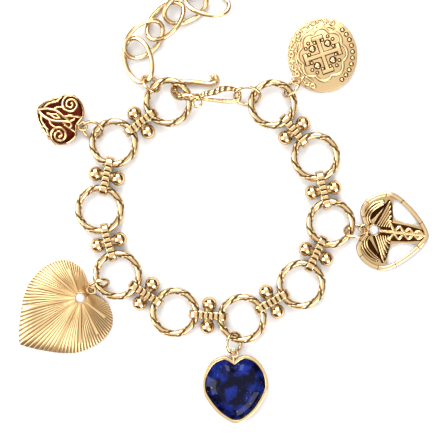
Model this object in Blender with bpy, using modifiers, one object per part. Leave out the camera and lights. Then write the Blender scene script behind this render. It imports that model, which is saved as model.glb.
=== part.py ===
"""Charm bracelet laid flat: ten twisted rings held by ball connectors, a hook clasp, an extender of
oval links and five charms on jump rings. Metres, +Z up, resting on the plane z = 0."""

import math

import bmesh
import bpy
from mathutils import Matrix, Vector

MM = 0.001
WELD = 0.000001

# Twisted rings
RING_OUTER = 13.4 * MM
RING_WIRE = 1.9 * MM
RING_SIDES = 16

# Connectors: a ribbed strap closed round two ring wires, with a ball on either side
STRAP_THICKNESS = 0.7 * MM
STRAP_WIDTH = 2.1 * MM
WIRE_ROOM = 0.3 * MM
WIRE_SPACING = 6.76 * MM
BALL_DIAMETER = 3.9 * MM
BALL_SPREAD = 6.2 * MM
BARREL_DIAMETER = 2.6 * MM
NOTCH_COUNT = 5
NOTCH_PITCH = 1.35 * MM
NOTCH_WIDTH = 0.36 * MM
NOTCH_DEPTH = 0.22 * MM

# Way of the chain: the heading from each ring to the next, in degrees
CHAIN_START = (-15.23 * MM, 27.04 * MM)
CHAIN_HEADINGS = (216.8, 258.0, 285.2, 326.9, 354.8, 29.9, 64.3, 102.8, 129.2)
# The rings by the clasp lean: the side that is raised, and by how much, in degrees
FIRST_RING_LEAN = (37.0, 3.0)
LAST_RING_LEAN = (130.0, 1.7)

# Jump rings and the eyes of the charms
JUMP_RADIUS = 2.75 * MM
JUMP_WIRE = 0.8 * MM
JUMP_SIDES = 14
EYE_RADIUS = 1.1 * MM
EYE_WIRE = 0.5 * MM
EYE_SIDES = 10
EYE_POST = 0.9 * MM

# Extender of oval links, leant in turn to either side
LINK_HALF_LENGTH = 6.1 * MM
LINK_HALF_WIDTH = 3.8 * MM
LINK_WIRE = 1.3 * MM
LINK_LEAN = 19.0
LINK_LIFT = 1.95 * MM
# Way of the extender, chosen by eye: place across and up from the first ring, heading in degrees
LINK_ROUTE = (
    (-8.07 * MM, 11.25 * MM, 105.9),
    (-6.53 * MM, 16.89 * MM, 43.6),
    (-0.84 * MM, 21.80 * MM, 47.7),
    (4.64 * MM, 25.53 * MM, 28.7),
    (10.37 * MM, 26.93 * MM, -15.1),
)
EXTENDER_RING_RADIUS = 2.6 * MM
EXTENDER_RING_WIRE = 0.9 * MM
EXTENDER_RING_PLACE = (-4.62 * MM, 4.93 * MM, 2.35 * MM)
EXTENDER_RING_TURN = (-44.7, -50.9)

# Hook clasp
HOOK_WIRE = 1.8 * MM
STRAND_WIRE = 1.15 * MM
CURL_RADIUS = 1.08 * MM
CURL_WIRE = 0.7 * MM
COLLAR_DIAMETER = 2.1 * MM
COLLAR_LENGTH = 0.8 * MM
SHANK_HEIGHT = 4.6 * MM
HOOK_EYE_HEIGHT = 2.25 * MM
TONGUE_HEIGHT = 0.8 * MM
HOOK_RING_RADIUS = 3.4 * MM
HOOK_RING_HALF_WIDTH = 3.0 * MM
HOOK_RING_LEAN = 46.0
HOOK_RING_HEIGHT = 2.6 * MM

# Sunburst heart, a thin dome
SUNBURST_LENGTH = 25.6 * MM
SUNBURST_WIDTH = 25.1 * MM
SUNBURST_THICKNESS = 0.9 * MM
SUNBURST_DOME = 1.5 * MM
SUNBURST_STONE_INSET = 2.9 * MM
RAY_HEIGHT = 0.25 * MM
RAY_WIDTH = 0.9 * MM

# Clear stones and their cups
CRYSTAL_DIAMETER = 2.4 * MM
CRYSTAL_HEIGHT = 1.2 * MM
CUP_WALL = 0.4 * MM
STONE_ROOM = 0.12 * MM

# Lapis heart in its rim
LAPIS_LENGTH = 17.9 * MM
LAPIS_WIDTH = 17.7 * MM
LAPIS_RIM_HEIGHT = 2.6 * MM
LAPIS_RIM = 0.8 * MM
LAPIS_FLOOR = 0.6 * MM
LAPIS_CROWN = 1.2 * MM

# Filigree heart, puffed and hollow
FILIGREE_LENGTH = 12.4 * MM
FILIGREE_WIDTH = 14.0 * MM
FILIGREE_HEIGHT = 5.4 * MM
FILIGREE_WALL = 0.6 * MM
FILIGREE_RIM = 1.0 * MM
SCROLL_WIRE = 0.75 * MM

# Heart with the winged staff
STAFF_LENGTH = 19.0 * MM
STAFF_WIDTH = 21.2 * MM
STAFF_BASE = 1.1 * MM
STAFF_RAISED = 0.45 * MM
STAFF_ROD = 1.1 * MM

# Coin
COIN_WIDTH = 18.9 * MM
COIN_HEIGHT = 20.4 * MM
COIN_THICKNESS = 1.3 * MM
COIN_RELIEF = 0.3 * MM
COIN_SIDES = 28
CROSS_ARM = 4.6 * MM
CROSS_BAR = 0.9 * MM
CROSS_FOOT = 3.0 * MM
BEAD_DIAMETER = 0.9 * MM

# Charms on their jump rings. Ring: number of the chain ring. Bearing and beyond: where the jump ring's
# middle lies from that ring's middle, in degrees and past its wire. Lift: its height. Heading and lean:
# how it is turned. Eye: height of the charm's eye. Out: the eye's middle before the charm's edge.
# Charm: the way that the charm points, in degrees.
CHARM_COLUMNS = ("ring", "bearing", "beyond", "lift", "heading", "lean", "eye", "out", "charm")
CHARM_ROWS = {
    "filigree": (2, 148.5, 0.90 * MM, 2.35 * MM, -11.1, 43.9, 2.7 * MM, 1.5 * MM, 159.8),
    "sunburst": (4, 207.6, -0.24 * MM, 2.96 * MM, 21.2, 65.0, 1.9 * MM, 0.7 * MM, 217.1),
    "lapis": (6, 251.4, 1.12 * MM, 2.37 * MM, 84.5, 46.9, 2.2 * MM, 2.2 * MM, 272.8),
    "staff": (8, -17.8, 0.95 * MM, 2.65 * MM, 179.5, 54.6, 1.9 * MM, 0.5 * MM, -6.3),
    "coin": (10, 39.4, 0.74 * MM, 3.01 * MM, 229.2, 64.5, 1.9 * MM, 0.3 * MM, 44.5),
}

# Half outlines of the hearts from the cleft round to the tip: side as a share of the half width,
# along as a share of the length from the tip
SUNBURST_OUTLINE = (
    (0.0, 0.93), (0.2, 0.972), (0.45, 1.0), (0.7, 0.968), (0.88, 0.9), (0.985, 0.78),
    (1.0, 0.64), (0.91, 0.455), (0.72, 0.31), (0.45, 0.175), (0.18, 0.06), (0.0, 0.0),
)
LAPIS_OUTLINE = (
    (0.0, 0.926), (0.17, 0.983), (0.37, 1.0), (0.69, 0.926), (0.93, 0.75), (1.0, 0.575),
    (0.93, 0.42), (0.61, 0.185), (0.22, 0.03), (0.0, 0.0),
)
FILIGREE_OUTLINE = (
    (0.0, 0.93), (0.2, 0.97), (0.45, 1.0), (0.78, 0.9), (0.98, 0.72), (0.94, 0.52),
    (0.71, 0.3), (0.42, 0.11), (0.16, 0.01), (0.0, 0.0),
)
STAFF_OUTLINE = (
    (0.0, 0.9), (0.17, 0.945), (0.42, 0.995), (0.62, 0.975), (0.8, 0.9), (0.94, 0.775), (1.0, 0.64),
    (0.97, 0.53), (0.85, 0.41), (0.62, 0.25), (0.35, 0.105), (0.12, 0.02), (0.0, 0.0),
)

# Openings, wing and feathers of the staff heart on its left side, as shares in the same way
STAFF_GAP = ((0.24, 0.84), (0.42, 0.83), (0.62, 0.73), (0.72, 0.645), (0.62, 0.67), (0.36, 0.775))
STAFF_WINDOW = (
    (0.32, 0.5), (0.66, 0.55), (0.84, 0.545), (0.84, 0.5), (0.64, 0.34), (0.4, 0.19),
    (0.27, 0.13), (0.24, 0.2),
)
STAFF_WING = ((0.1, 0.78), (0.28, 0.765), (0.5, 0.7), (0.8, 0.63), (0.72, 0.57), (0.3, 0.53), (0.1, 0.58))
STAFF_FEATHERS = (
    ((0.3, 0.935), (0.56, 0.91), (0.74, 0.81), (0.75, 0.78), (0.55, 0.875), (0.3, 0.905)),
    ((0.28, 0.885), (0.5, 0.86), (0.7, 0.755), (0.7, 0.72), (0.49, 0.825), (0.28, 0.86)),
)
STAFF_BAND = 1.2 * MM
SERPENT_WIRE = 0.9 * MM
SERPENT_SWING = 1.9 * MM
SERPENT_TURNS = 1.75

GOLD = (0.76, 0.55, 0.27)
LAPIS_BLUE = (0.02, 0.04, 0.32)
CLEAR = (0.85, 0.9, 0.97)


def clear_scene():
    for obj in list(bpy.data.objects):
        bpy.data.objects.remove(obj, do_unlink=True)


def new_collection(name):
    collection = bpy.data.collections.new(name)
    bpy.context.scene.collection.children.link(collection)
    return collection


def piece(name, data):
    obj = bpy.data.objects.new(name, data)
    BRACELET.objects.link(obj)
    return obj


def finish(obj, colour=GOLD, metallic=1.0, roughness=0.25):
    """Gives a piece a material of its own."""
    material = bpy.data.materials.new(obj.name + "_finish")
    material.use_nodes = True
    shader = material.node_tree.nodes["Principled BSDF"]
    shader.inputs["Base Color"].default_value = (*colour, 1.0)
    shader.inputs["Metallic"].default_value = metallic
    shader.inputs["Roughness"].default_value = roughness
    obj.data.materials.clear()
    obj.data.materials.append(material)
    obj.parent = TABLE
    return obj


def as_mesh(obj):
    """Swaps a curve, or a mesh with modifiers, for the mesh that it evaluates to, where it stands."""
    bpy.context.view_layer.update()
    graph = bpy.context.evaluated_depsgraph_get()
    mesh = bpy.data.meshes.new_from_object(obj.evaluated_get(graph))
    shape = bmesh.new()
    shape.from_mesh(mesh)
    bmesh.ops.remove_doubles(shape, verts=shape.verts, dist=WELD)
    bmesh.ops.recalc_face_normals(shape, faces=shape.faces)
    shape.to_mesh(mesh)
    shape.free()
    mesh.transform(obj.matrix_world)
    name = obj.name
    bpy.data.objects.remove(obj)
    mesh.name = name
    return piece(name, mesh)


def mesh_piece(name, shape):
    """Makes an object of a bmesh, with its faces pointing out."""
    bmesh.ops.remove_doubles(shape, verts=shape.verts, dist=WELD)
    bmesh.ops.recalc_face_normals(shape, faces=shape.faces)
    mesh = bpy.data.meshes.new(name)
    shape.to_mesh(mesh)
    shape.free()
    return piece(name, mesh)


def combine(obj, others, operation):
    """Applies one Boolean after another and removes the other bodies."""
    for other in others:
        other.hide_render = True
        other.display_type = "WIRE"
        modifier = obj.modifiers.new(operation.lower(), "BOOLEAN")
        modifier.operation = operation
        modifier.solver = "EXACT"
        modifier.object = other
    solid = as_mesh(obj)
    for other in others:
        bpy.data.objects.remove(other)
    return solid


def fuse(name, bodies):
    """Solders bodies that overlap into one."""
    solid = combine(bodies[0], bodies[1:], "UNION")
    solid.name = name
    return solid


def smooth_shade(obj, degrees=40):
    if obj.type == "MESH":
        obj.data.shade_smooth()
        obj.data.set_sharp_from_angle(angle=math.radians(degrees))
    return obj


def wire(name, points, width, closed=True, widths=None, turns=0, fine=1):
    """A bent wire of six sides, or four if it isn't fine. Widths are shares of its width; turns are full
    twists of a closed one."""
    curve = bpy.data.curves.new(name, "CURVE")
    curve.dimensions = "3D"
    curve.bevel_depth = width / 2
    curve.bevel_resolution = fine
    curve.use_fill_caps = not closed
    spline = curve.splines.new("POLY")
    spline.points.add(len(points) - 1)
    for index, point in enumerate(points):
        spline.points[index].co = (*point, 1.0)
        spline.points[index].radius = widths[index] if widths else 1.0
        spline.points[index].tilt = 2 * math.pi * turns * index / len(points)
    spline.use_cyclic_u = closed
    spline.use_smooth = True
    return piece(name, curve)


def oval(half_length, half_width, sides):
    angles = [2 * math.pi * index / sides for index in range(sides)]
    return [(half_length * math.cos(a), half_width * math.sin(a), 0.0) for a in angles]


def slab(name, outlines, bottom, top):
    """A flat piece between two heights: the first outline is its edge, the others are cut through."""
    curve = bpy.data.curves.new(name, "CURVE")
    curve.dimensions = "2D"
    curve.fill_mode = "BOTH"
    curve.extrude = (top - bottom) / 2
    for outline in outlines:
        spline = curve.splines.new("POLY")
        spline.points.add(len(outline) - 1)
        for point, place in zip(spline.points, outline):
            point.co = (place[0], place[1], 0.0, 1.0)
        spline.use_cyclic_u = True
    obj = piece(name, curve)
    obj.location.z = (top + bottom) / 2
    return as_mesh(obj)


def rod(name, start, end, width, sides=8):
    """A straight round bar between two points."""
    start, end = Vector(start), Vector(end)
    shape = bmesh.new()
    bmesh.ops.create_cone(
        shape, cap_ends=True, segments=sides, radius1=width / 2, radius2=width / 2,
        depth=(end - start).length,
    )
    turn = Vector((0, 0, 1)).rotation_difference(end - start).to_matrix().to_4x4()
    bmesh.ops.transform(shape, matrix=Matrix.Translation((start + end) / 2) @ turn, verts=shape.verts)
    return mesh_piece(name, shape)


def standing(place, heading, lean):
    """Stands a flat piece at a place, turned to a heading and then leant about its own length."""
    turn = Matrix.Rotation(math.radians(heading), 4, "Z")
    return Matrix.Translation(place) @ turn @ Matrix.Rotation(math.radians(lean), 4, "X")


def through(rows, steps):
    """Points on a smooth curve through the rows, from the first to the last."""
    rows = [Vector(row) for row in rows]
    ends = [rows[0]] + rows + [rows[-1]]
    points = []
    for before, start, end, after in zip(ends, ends[1:], ends[2:], ends[3:]):
        for step in range(steps):
            t = step / steps
            points.append(
                0.5 * (2 * start + (end - before) * t
                       + (2 * before - 5 * start + 4 * end - after) * t * t
                       + (3 * start - before - 3 * end + after) * t * t * t)
            )
    return points + [rows[-1]]


def heart_place(row, rows, length, width, out):
    """A place in shares turned to the charm's own frame: its eye at the origin, its tip along +X."""
    return (out + (rows[0][1] - row[1]) * length, row[0] * width / 2)


def heart(rows, length, width, out, steps=2):
    """The whole outline of a heart, counterclockwise from its cleft."""
    half = [heart_place(row, rows, length, width, out) for row in through(rows, steps)]
    return [(x, -y) for x, y in half] + [(x, y) for x, y in reversed(half[1:-1])]


def inset(outline, distance):
    """The outline moved inwards, each corner along its own bisector."""
    moved = []
    for index, corner in enumerate(outline):
        here = Vector(corner)
        back = (here - Vector(outline[index - 1])).normalized()
        ahead = (Vector(outline[(index + 1) % len(outline)]) - here).normalized()
        inward = Vector((-back.y - ahead.y, back.x + ahead.x)).normalized()
        spread = max(0.45, inward.dot(Vector((-ahead.y, ahead.x))))
        moved.append(tuple(here + inward * distance / spread))
    return moved


def layered(name, outline, middle, levels, thickness=0.0):
    """A skin over an outline: each level is a share of the outline about the middle, and a height.
    With a thickness it becomes a wall, measured straight down."""
    shape = bmesh.new()
    corners = [shape.verts.new((x, y, levels[0][1])) for x, y in outline]
    edges = [shape.edges.new(pair) for pair in zip(corners, corners[1:] + corners[:1])]
    share = 1.0
    for next_share, height in levels[1:]:
        grown = bmesh.ops.extrude_edge_only(shape, edges=edges)["geom"]
        corners = [item for item in grown if isinstance(item, bmesh.types.BMVert)]
        edges = [item for item in grown if isinstance(item, bmesh.types.BMEdge)]
        for corner in corners:
            corner.co.x = middle + (corner.co.x - middle) * next_share / share
            corner.co.y = corner.co.y * next_share / share
            corner.co.z = height
        share = next_share
    shape.faces.new(sorted_loop(corners, middle))
    if thickness:
        grown = bmesh.ops.extrude_face_region(shape, geom=shape.faces[:], use_keep_orig=True)["geom"]
        corners = [item for item in grown if isinstance(item, bmesh.types.BMVert)]
        bmesh.ops.translate(shape, verts=corners, vec=(0, 0, -thickness))
    return mesh_piece(name, shape)


def sorted_loop(corners, middle):
    return sorted(corners, key=lambda corner: math.atan2(corner.co.y, corner.co.x - middle))


def ring_mean_radius():
    return (RING_OUTER - RING_WIRE) / 2


def strap_height():
    return RING_WIRE + 2 * WIRE_ROOM + 2 * STRAP_THICKNESS


def chain_centres():
    """Middles of the ten rings in plan."""
    pitch = 2 * ring_mean_radius() + WIRE_SPACING
    centres = [Vector(CHAIN_START)]
    for heading in CHAIN_HEADINGS:
        angle = math.radians(heading)
        centres.append(centres[-1] + pitch * Vector((math.cos(angle), math.sin(angle))))
    return centres


def ring_corners(radius, sides):
    """Corners of a wire ring so placed that its sides lie half within the radius and half beyond it."""
    reach = radius / math.sqrt(math.cos(math.pi / sides))
    return oval(reach, reach, sides)


def make_rings(centres):
    radius = ring_mean_radius()
    leans = {1: FIRST_RING_LEAN, len(centres): LAST_RING_LEAN}
    for number, centre in enumerate(centres, 1):
        raised, lean = leans.get(number, (0.0, 0.0))
        height = strap_height() / 2 + radius * math.sin(math.radians(lean))
        ring = wire(f"ring_{number}", ring_corners(radius, RING_SIDES), RING_WIRE, turns=1)
        ring.matrix_world = standing((*centre, height), raised - 90, lean)
        finish(ring)


def strap_edge():
    """Outer edge of the strap from the side, with a notch between each two ribs."""
    radius = strap_height() / 2
    end = WIRE_SPACING / 2
    half = [(-NOTCH_WIDTH / 2, radius), (0, radius - NOTCH_DEPTH), (NOTCH_WIDTH / 2, radius)]
    first = -(NOTCH_COUNT - 1) / 2 * NOTCH_PITCH
    top = [(first + index * NOTCH_PITCH + x, y) for index in range(NOTCH_COUNT) for x, y in half]
    round_end = [
        (end + radius * math.cos(angle), radius * math.sin(angle))
        for angle in [math.radians(90 - 36 * step) for step in range(6)]
    ]
    half_edge = top + round_end
    return half_edge + [(-x, -y) for x, y in half_edge]


def strap_hole():
    """The slot in the strap, a little longer than the wires need since they curve across its width."""
    radius = strap_height() / 2 - STRAP_THICKNESS
    bow = ring_mean_radius() - math.sqrt(ring_mean_radius() ** 2 - (STRAP_WIDTH / 2) ** 2)
    end = (WIRE_SPACING + bow) / 2
    angles = [math.radians(90 - 30 * step) for step in range(7)]
    half_edge = [(end + radius * math.cos(a), radius * math.sin(a)) for a in angles]
    return half_edge + [(-x, -y) for x, y in half_edge]


def make_connectors(centres):
    strap = slab("strap", [strap_edge(), strap_hole()], -STRAP_WIDTH / 2, STRAP_WIDTH / 2)
    strap.rotation_euler.x = math.radians(90)
    strap = as_mesh(strap)
    balls = []
    for side in (-1, 1):
        shape = bmesh.new()
        bmesh.ops.create_uvsphere(shape, u_segments=10, v_segments=6, radius=BALL_DIAMETER / 2)
        bmesh.ops.translate(shape, verts=shape.verts, vec=(0, side * BALL_SPREAD / 2, 0))
        balls.append(mesh_piece("ball", shape))
    barrel = rod("barrel", (0, -BALL_SPREAD / 2, 0), (0, BALL_SPREAD / 2, 0), BARREL_DIAMETER, 10)
    first = smooth_shade(fuse("connector_1", [barrel, strap] + balls))
    for number, (start, end) in enumerate(zip(centres, centres[1:]), 1):
        connector = first if number == 1 else piece(f"connector_{number}", first.data.copy())
        heading = math.degrees(math.atan2(end.y - start.y, end.x - start.x))
        place = (*((start + end) / 2), strap_height() / 2)
        connector.matrix_world = standing(place, heading, 0)
        finish(connector)


def make_extender(centres):
    first = centres[0]
    for number, (across, up, heading) in enumerate(LINK_ROUTE, 1):
        lean = LINK_LEAN if number % 2 == 0 else -LINK_LEAN
        link = wire(f"extender_link_{number}", oval(LINK_HALF_LENGTH, LINK_HALF_WIDTH, 16), LINK_WIRE)
        link.matrix_world = standing((first.x + across, first.y + up, LINK_LIFT), heading, lean)
        finish(link)
    ring = wire("extender_ring", oval(EXTENDER_RING_RADIUS, EXTENDER_RING_RADIUS, JUMP_SIDES), EXTENDER_RING_WIRE)
    across, up, lift = EXTENDER_RING_PLACE
    ring.matrix_world = standing((first.x + across, first.y + up, lift), *EXTENDER_RING_TURN)
    finish(ring)


# The hook's wire from its curled end to the neck. Along is a share of the way from the first ring's
# wire to the last ring's; side and lift are shares of the hook's throat; width is a share of its wire.
HOOK_ROWS = (
    (0.343, 1.48, 0.05, 0.42),
    (0.340, 1.59, 0.05, 0.44),
    (0.371, 1.69, 0.04, 0.50),
    (0.413, 1.64, 0.03, 0.56),
    (0.433, 1.47, 0.01, 0.61),
    (0.402, 1.26, 0.00, 0.64),
    (0.312, 1.17, 0.00, 0.67),
    (0.137, 1.23, 0.00, 0.67),
    (-0.031, 1.28, 0.00, 0.67),
    (-0.145, 1.26, 0.00, 0.69),
    (-0.224, 1.12, 0.01, 0.74),
    (-0.257, 0.85, 0.14, 0.82),
    (-0.250, 0.57, 0.45, 0.96),
    (-0.191, 0.35, 0.79, 1.00),
    (-0.088, 0.28, 0.97, 1.00),
    (0.034, 0.29, 1.00, 1.00),
    (0.141, 0.29, 0.92, 0.83),
)
HOOK_THROAT = 4.45 * MM
COLLAR_PLACE = (0.125, 0.29)
CROSSING = 1.2
HOOK_RING_SIDE = 0.46
# The eye from the neck over its thick strand, round its end and back along the thin strand
HOOK_EYE_ROWS = (
    (0.157, 0.29, 0.90),
    (0.222, 0.46, 1.00),
    (0.286, 0.53, 1.00),
    (0.412, 0.66, 1.00),
    (0.511, 0.83, 1.00),
    (0.637, 0.88, 1.00),
    (0.737, 0.82, 1.00),
    (0.802, 0.66, 0.90),
    (0.812, 0.44, 0.80),
    (0.796, 0.22, 0.75),
    (0.737, 0.14, 0.72),
    (0.611, 0.09, 0.72),
    (0.461, 0.12, 0.72),
    (0.312, 0.16, 0.72),
    (0.222, 0.18, 0.75),
)


def make_hook(centres):
    """The hook lies in a frame of its own: +X from the first ring to the last one."""
    first, last = centres[0], centres[-1]
    way = last - first
    span = way.length - 2 * ring_mean_radius()
    rise = SHANK_HEIGHT - TONGUE_HEIGHT
    points = []
    for along, side, lift, width in HOOK_ROWS:
        points.append((along * span, side * HOOK_THROAT, TONGUE_HEIGHT + lift * rise))
    bend = wire("bend", points, HOOK_WIRE, closed=False, widths=[row[3] for row in HOOK_ROWS])
    neck = HOOK_EYE_ROWS[0][0]
    end = HOOK_EYE_ROWS[8][0]
    points = []
    for along, side, width in HOOK_EYE_ROWS:
        fall = (along - neck) / (end - neck)
        lift = SHANK_HEIGHT - 0.35 * MM - fall * (SHANK_HEIGHT - 0.35 * MM - HOOK_EYE_HEIGHT)
        points.append((along * span, side * HOOK_THROAT, lift))
    eye = wire("eye", points, STRAND_WIRE, widths=[row[2] for row in HOOK_EYE_ROWS])
    neck_place = (COLLAR_PLACE[0] * span, COLLAR_PLACE[1] * HOOK_THROAT, SHANK_HEIGHT - 0.2 * MM)
    collar = rod(
        "collar", (neck_place[0] - COLLAR_LENGTH / 2, neck_place[1], neck_place[2]),
        (neck_place[0] + COLLAR_LENGTH / 2, neck_place[1], neck_place[2]), COLLAR_DIAMETER,
    )
    curl = wire("curl", oval(CURL_RADIUS, CURL_RADIUS, 10), CURL_WIRE)
    curl.location = (neck_place[0], neck_place[1] - CURL_RADIUS - COLLAR_DIAMETER / 4, neck_place[2])
    hook = fuse("hook", [as_mesh(part) for part in (bend, eye, collar, curl)])
    start = first + way.normalized() * ring_mean_radius()
    hook.matrix_world = standing((*start, 0), math.degrees(math.atan2(way.y, way.x)), 0)
    finish(smooth_shade(hook))
    ring = wire("hook_ring", oval(HOOK_RING_RADIUS, HOOK_RING_HALF_WIDTH, JUMP_SIDES), JUMP_WIRE)
    aside = HOOK_RING_SIDE * HOOK_THROAT
    bow = ring_mean_radius() - math.sqrt(ring_mean_radius() ** 2 - aside ** 2)
    reach = (end * span - STRAND_WIRE / 2 + span + bow + CROSSING * RING_WIRE / 2) / 2
    middle = start + way.normalized() * reach + Vector((-way.y, way.x)).normalized() * aside
    ring.matrix_world = standing((*middle, HOOK_RING_HEIGHT), math.degrees(math.atan2(way.y, way.x)), HOOK_RING_LEAN)
    finish(ring)


def seat_charm(name, centres):
    """Hangs the charm's jump ring in its chain ring, and gives the charm's row and place."""
    row = dict(zip(CHARM_COLUMNS, CHARM_ROWS[name]))
    bearing = math.radians(row["bearing"])
    centre = centres[row["ring"] - 1]
    middle = centre + (ring_mean_radius() + row["beyond"]) * Vector((math.cos(bearing), math.sin(bearing)))
    ring = wire(f"{name}_ring", oval(JUMP_RADIUS, JUMP_RADIUS, JUMP_SIDES), JUMP_WIRE)
    ring.matrix_world = standing((*middle, row["lift"]), row["heading"], row["lean"])
    finish(ring)
    lean = math.radians(row["lean"])
    heading = math.radians(row["heading"])
    share = (row["eye"] - row["lift"]) / (JUMP_RADIUS * math.sin(lean))
    back = JUMP_RADIUS * math.sqrt(1 - share * share)
    aside = JUMP_RADIUS * share * math.cos(lean)
    ahead = Vector((math.cos(heading), math.sin(heading)))
    eye = middle - back * ahead + aside * Vector((-ahead.y, ahead.x))
    return row, standing((*eye, 0), row["charm"], 0)


def eye_bodies(row, post_end):
    """The eye that a jump ring goes through, and the post that solders it to its charm."""
    eye = wire("eye", oval(EYE_RADIUS, EYE_RADIUS, EYE_SIDES), EYE_WIRE)
    eye.location.z = row["eye"]
    post = rod("post", (EYE_RADIUS, 0, row["eye"]), post_end, EYE_POST, 6)
    return [as_mesh(eye), post]


def seat(obj, place, **look):
    obj.matrix_world = place
    return finish(smooth_shade(obj), **look)


def cup(middle, side, floor, top):
    """The body of a stone's cup and the pocket to cut in it."""
    outer = CRYSTAL_DIAMETER / 2 + STONE_ROOM + CUP_WALL
    inner = CRYSTAL_DIAMETER / 2 + STONE_ROOM
    body = rod("cup", (middle, side, floor), (middle, side, top), 2 * outer, 12)
    pocket_floor = top - CRYSTAL_HEIGHT * 0.6
    pocket = rod("pocket", (middle, side, pocket_floor), (middle, side, top + 1 * MM), 2 * inner, 12)
    return body, pocket


def brilliant(name, middle, side, top):
    """A round stone: eight crown facets up to a table, eight below down to a flat."""
    bottom = top - CRYSTAL_HEIGHT * 0.6 + STONE_ROOM
    girdle = top + STONE_ROOM / 2
    high = bottom + CRYSTAL_HEIGHT
    radius = CRYSTAL_DIAMETER / 2
    shape = bmesh.new()
    for low, up, r1, r2 in ((bottom, girdle, 0.45, 1.0), (girdle, high, 1.0, 0.58)):
        made = bmesh.ops.create_cone(
            shape, segments=8, cap_ends=False, radius1=radius * r1, radius2=radius * r2, depth=up - low
        )
        bmesh.ops.translate(shape, verts=made["verts"], vec=(middle, side, (low + up) / 2))
    bmesh.ops.remove_doubles(shape, verts=shape.verts, dist=WELD)
    bmesh.ops.holes_fill(shape, edges=shape.edges)
    return mesh_piece(name, shape)


def make_sunburst(centres):
    row, place = seat_charm("sunburst", centres)
    out = row["out"]
    outline = heart(SUNBURST_OUTLINE, SUNBURST_LENGTH, SUNBURST_WIDTH, out, steps=1)
    middle = out + 0.42 * SUNBURST_LENGTH
    edge = SUNBURST_THICKNESS
    dome = SUNBURST_DOME
    levels = [(1.0, edge), (0.82, edge + 0.55 * dome), (0.55, edge + 0.88 * dome), (0.25, edge + dome)]
    plate = layered("plate", outline, middle, levels, SUNBURST_THICKNESS)
    stone = out + SUNBURST_STONE_INSET
    raised = [(share, height + RAY_HEIGHT) for share, height in levels]
    lifted = layered("lifted", outline, middle, raised, SUNBURST_THICKNESS)
    rays = []
    for heading, reach in RAYS:
        angle = math.radians(heading)
        ahead = Vector((math.cos(angle), math.sin(angle)))
        across = Vector((-ahead.y, ahead.x)) * RAY_WIDTH / 2
        start = Vector((stone, 0)) + ahead * (CRYSTAL_DIAMETER / 2 + CUP_WALL)
        end = Vector((stone, 0)) + ahead * reach * SUNBURST_LENGTH
        rays.append(slab("ray", [[start - across * 0.35, end - across, end + across, start + across * 0.35]],
                         -1 * MM, 5 * MM))
    top = edge + dome
    stencil = combine(rays[0], rays[1:], "UNION")
    relief = combine(lifted, [stencil], "INTERSECT")
    body, pocket = cup(stone, 0, 0.9 * MM, top + 0.35 * MM)
    bodies = [plate, relief, body] + eye_bodies(row, (EYE_RADIUS + 0.5 * MM, 0, 0.7 * MM))
    sunburst = fuse("sunburst_heart", bodies)
    sunburst = combine(sunburst, [pocket], "DIFFERENCE")
    seat(sunburst, place)
    seat(brilliant("sunburst_crystal", stone, 0, top + 0.35 * MM), place, colour=CLEAR, metallic=0.0, roughness=0.02)


# Raised rays of the sunburst: heading from the stone, and reach as a share of the heart's length
RAYS = (
    (-104, 0.33), (-78, 0.42), (-52, 0.47), (-27, 0.62), (0, 0.72), (27, 0.62), (52, 0.47),
    (78, 0.42), (104, 0.33),
)


def make_lapis(centres):
    row, place = seat_charm("lapis", centres)
    outline = heart(LAPIS_OUTLINE, LAPIS_LENGTH, LAPIS_WIDTH, row["out"])
    inner = inset(outline, LAPIS_RIM)
    rim = slab("rim", [outline, inner], 0.0, LAPIS_RIM_HEIGHT)
    floor = slab("floor", [inset(outline, LAPIS_RIM / 2)], 0.0, LAPIS_FLOOR)
    post_end = (row["out"] + LAPIS_RIM / 2, 0, row["eye"])
    setting = fuse("lapis_setting", [rim, floor] + eye_bodies(row, post_end))
    seat(setting, place)
    girdle = inset(outline, LAPIS_RIM + STONE_ROOM)
    middle = row["out"] + 0.4 * LAPIS_LENGTH
    low = LAPIS_FLOOR + STONE_ROOM
    shape = bmesh.new()
    loops = []
    for share, height in ((0.8, low), (1.0, low + 0.8 * MM), (1.0, LAPIS_RIM_HEIGHT - 0.3 * MM),
                          (0.62, LAPIS_RIM_HEIGHT + LAPIS_CROWN)):
        loops.append([shape.verts.new((middle + (x - middle) * share, y * share, height)) for x, y in girdle[::2]])
    for below, above in zip(loops, loops[1:]):
        edges = [shape.edges.get(pair) or shape.edges.new(pair)
                 for loop in (below, above) for pair in zip(loop, loop[1:] + loop[:1])]
        bmesh.ops.bridge_loops(shape, edges=edges)
    bmesh.ops.holes_fill(shape, edges=shape.edges)
    seat(mesh_piece("lapis_stone", shape), place, colour=LAPIS_BLUE, metallic=0.0, roughness=0.08)


# Scrolls of the filigree heart on one side, smooth curves in plan: along and side in the same shares
# as its outline. The spirals are made by a loop.
SPIRAL_PLACE = (0.62, 0.66)
SPIRAL_RADIUS = 2.2 * MM
SPIRAL_TURNS = 1.6
LEAF = ((0.0, 0.78), (0.1, 0.62), (0.2, 0.42), (0.14, 0.2), (0.0, 0.04))
SCROLLS = (
    ((0.1, 0.62), (0.22, 0.78), (0.3, 0.95)),
    ((0.12, 0.15), (0.34, 0.2), (0.56, 0.36), (0.9, 0.45)),
    ((0.18, 0.34), (0.34, 0.42), (0.42, 0.56)),
    ((0.56, 0.38), (0.5, 0.28), (0.6, 0.2)),
)


def reach_to(outline, middle, place):
    """How far a place lies from the middle, as a share of the way to the outline."""
    way = Vector(place) - Vector((middle, 0))
    best = 0.0
    for start, end in zip(outline, outline[1:] + outline[:1]):
        near = Vector(start) - Vector((middle, 0))
        side = Vector(end) - Vector(start)
        cross = way.x * side.y - way.y * side.x
        if abs(cross) < 1e-14:
            continue
        share = (near.x * side.y - near.y * side.x) / cross
        along = (near.x * way.y - near.y * way.x) / cross
        if share > 0 and 0 <= along <= 1:
            best = max(best, 1 / share)
    return min(1.0, best)


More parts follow.
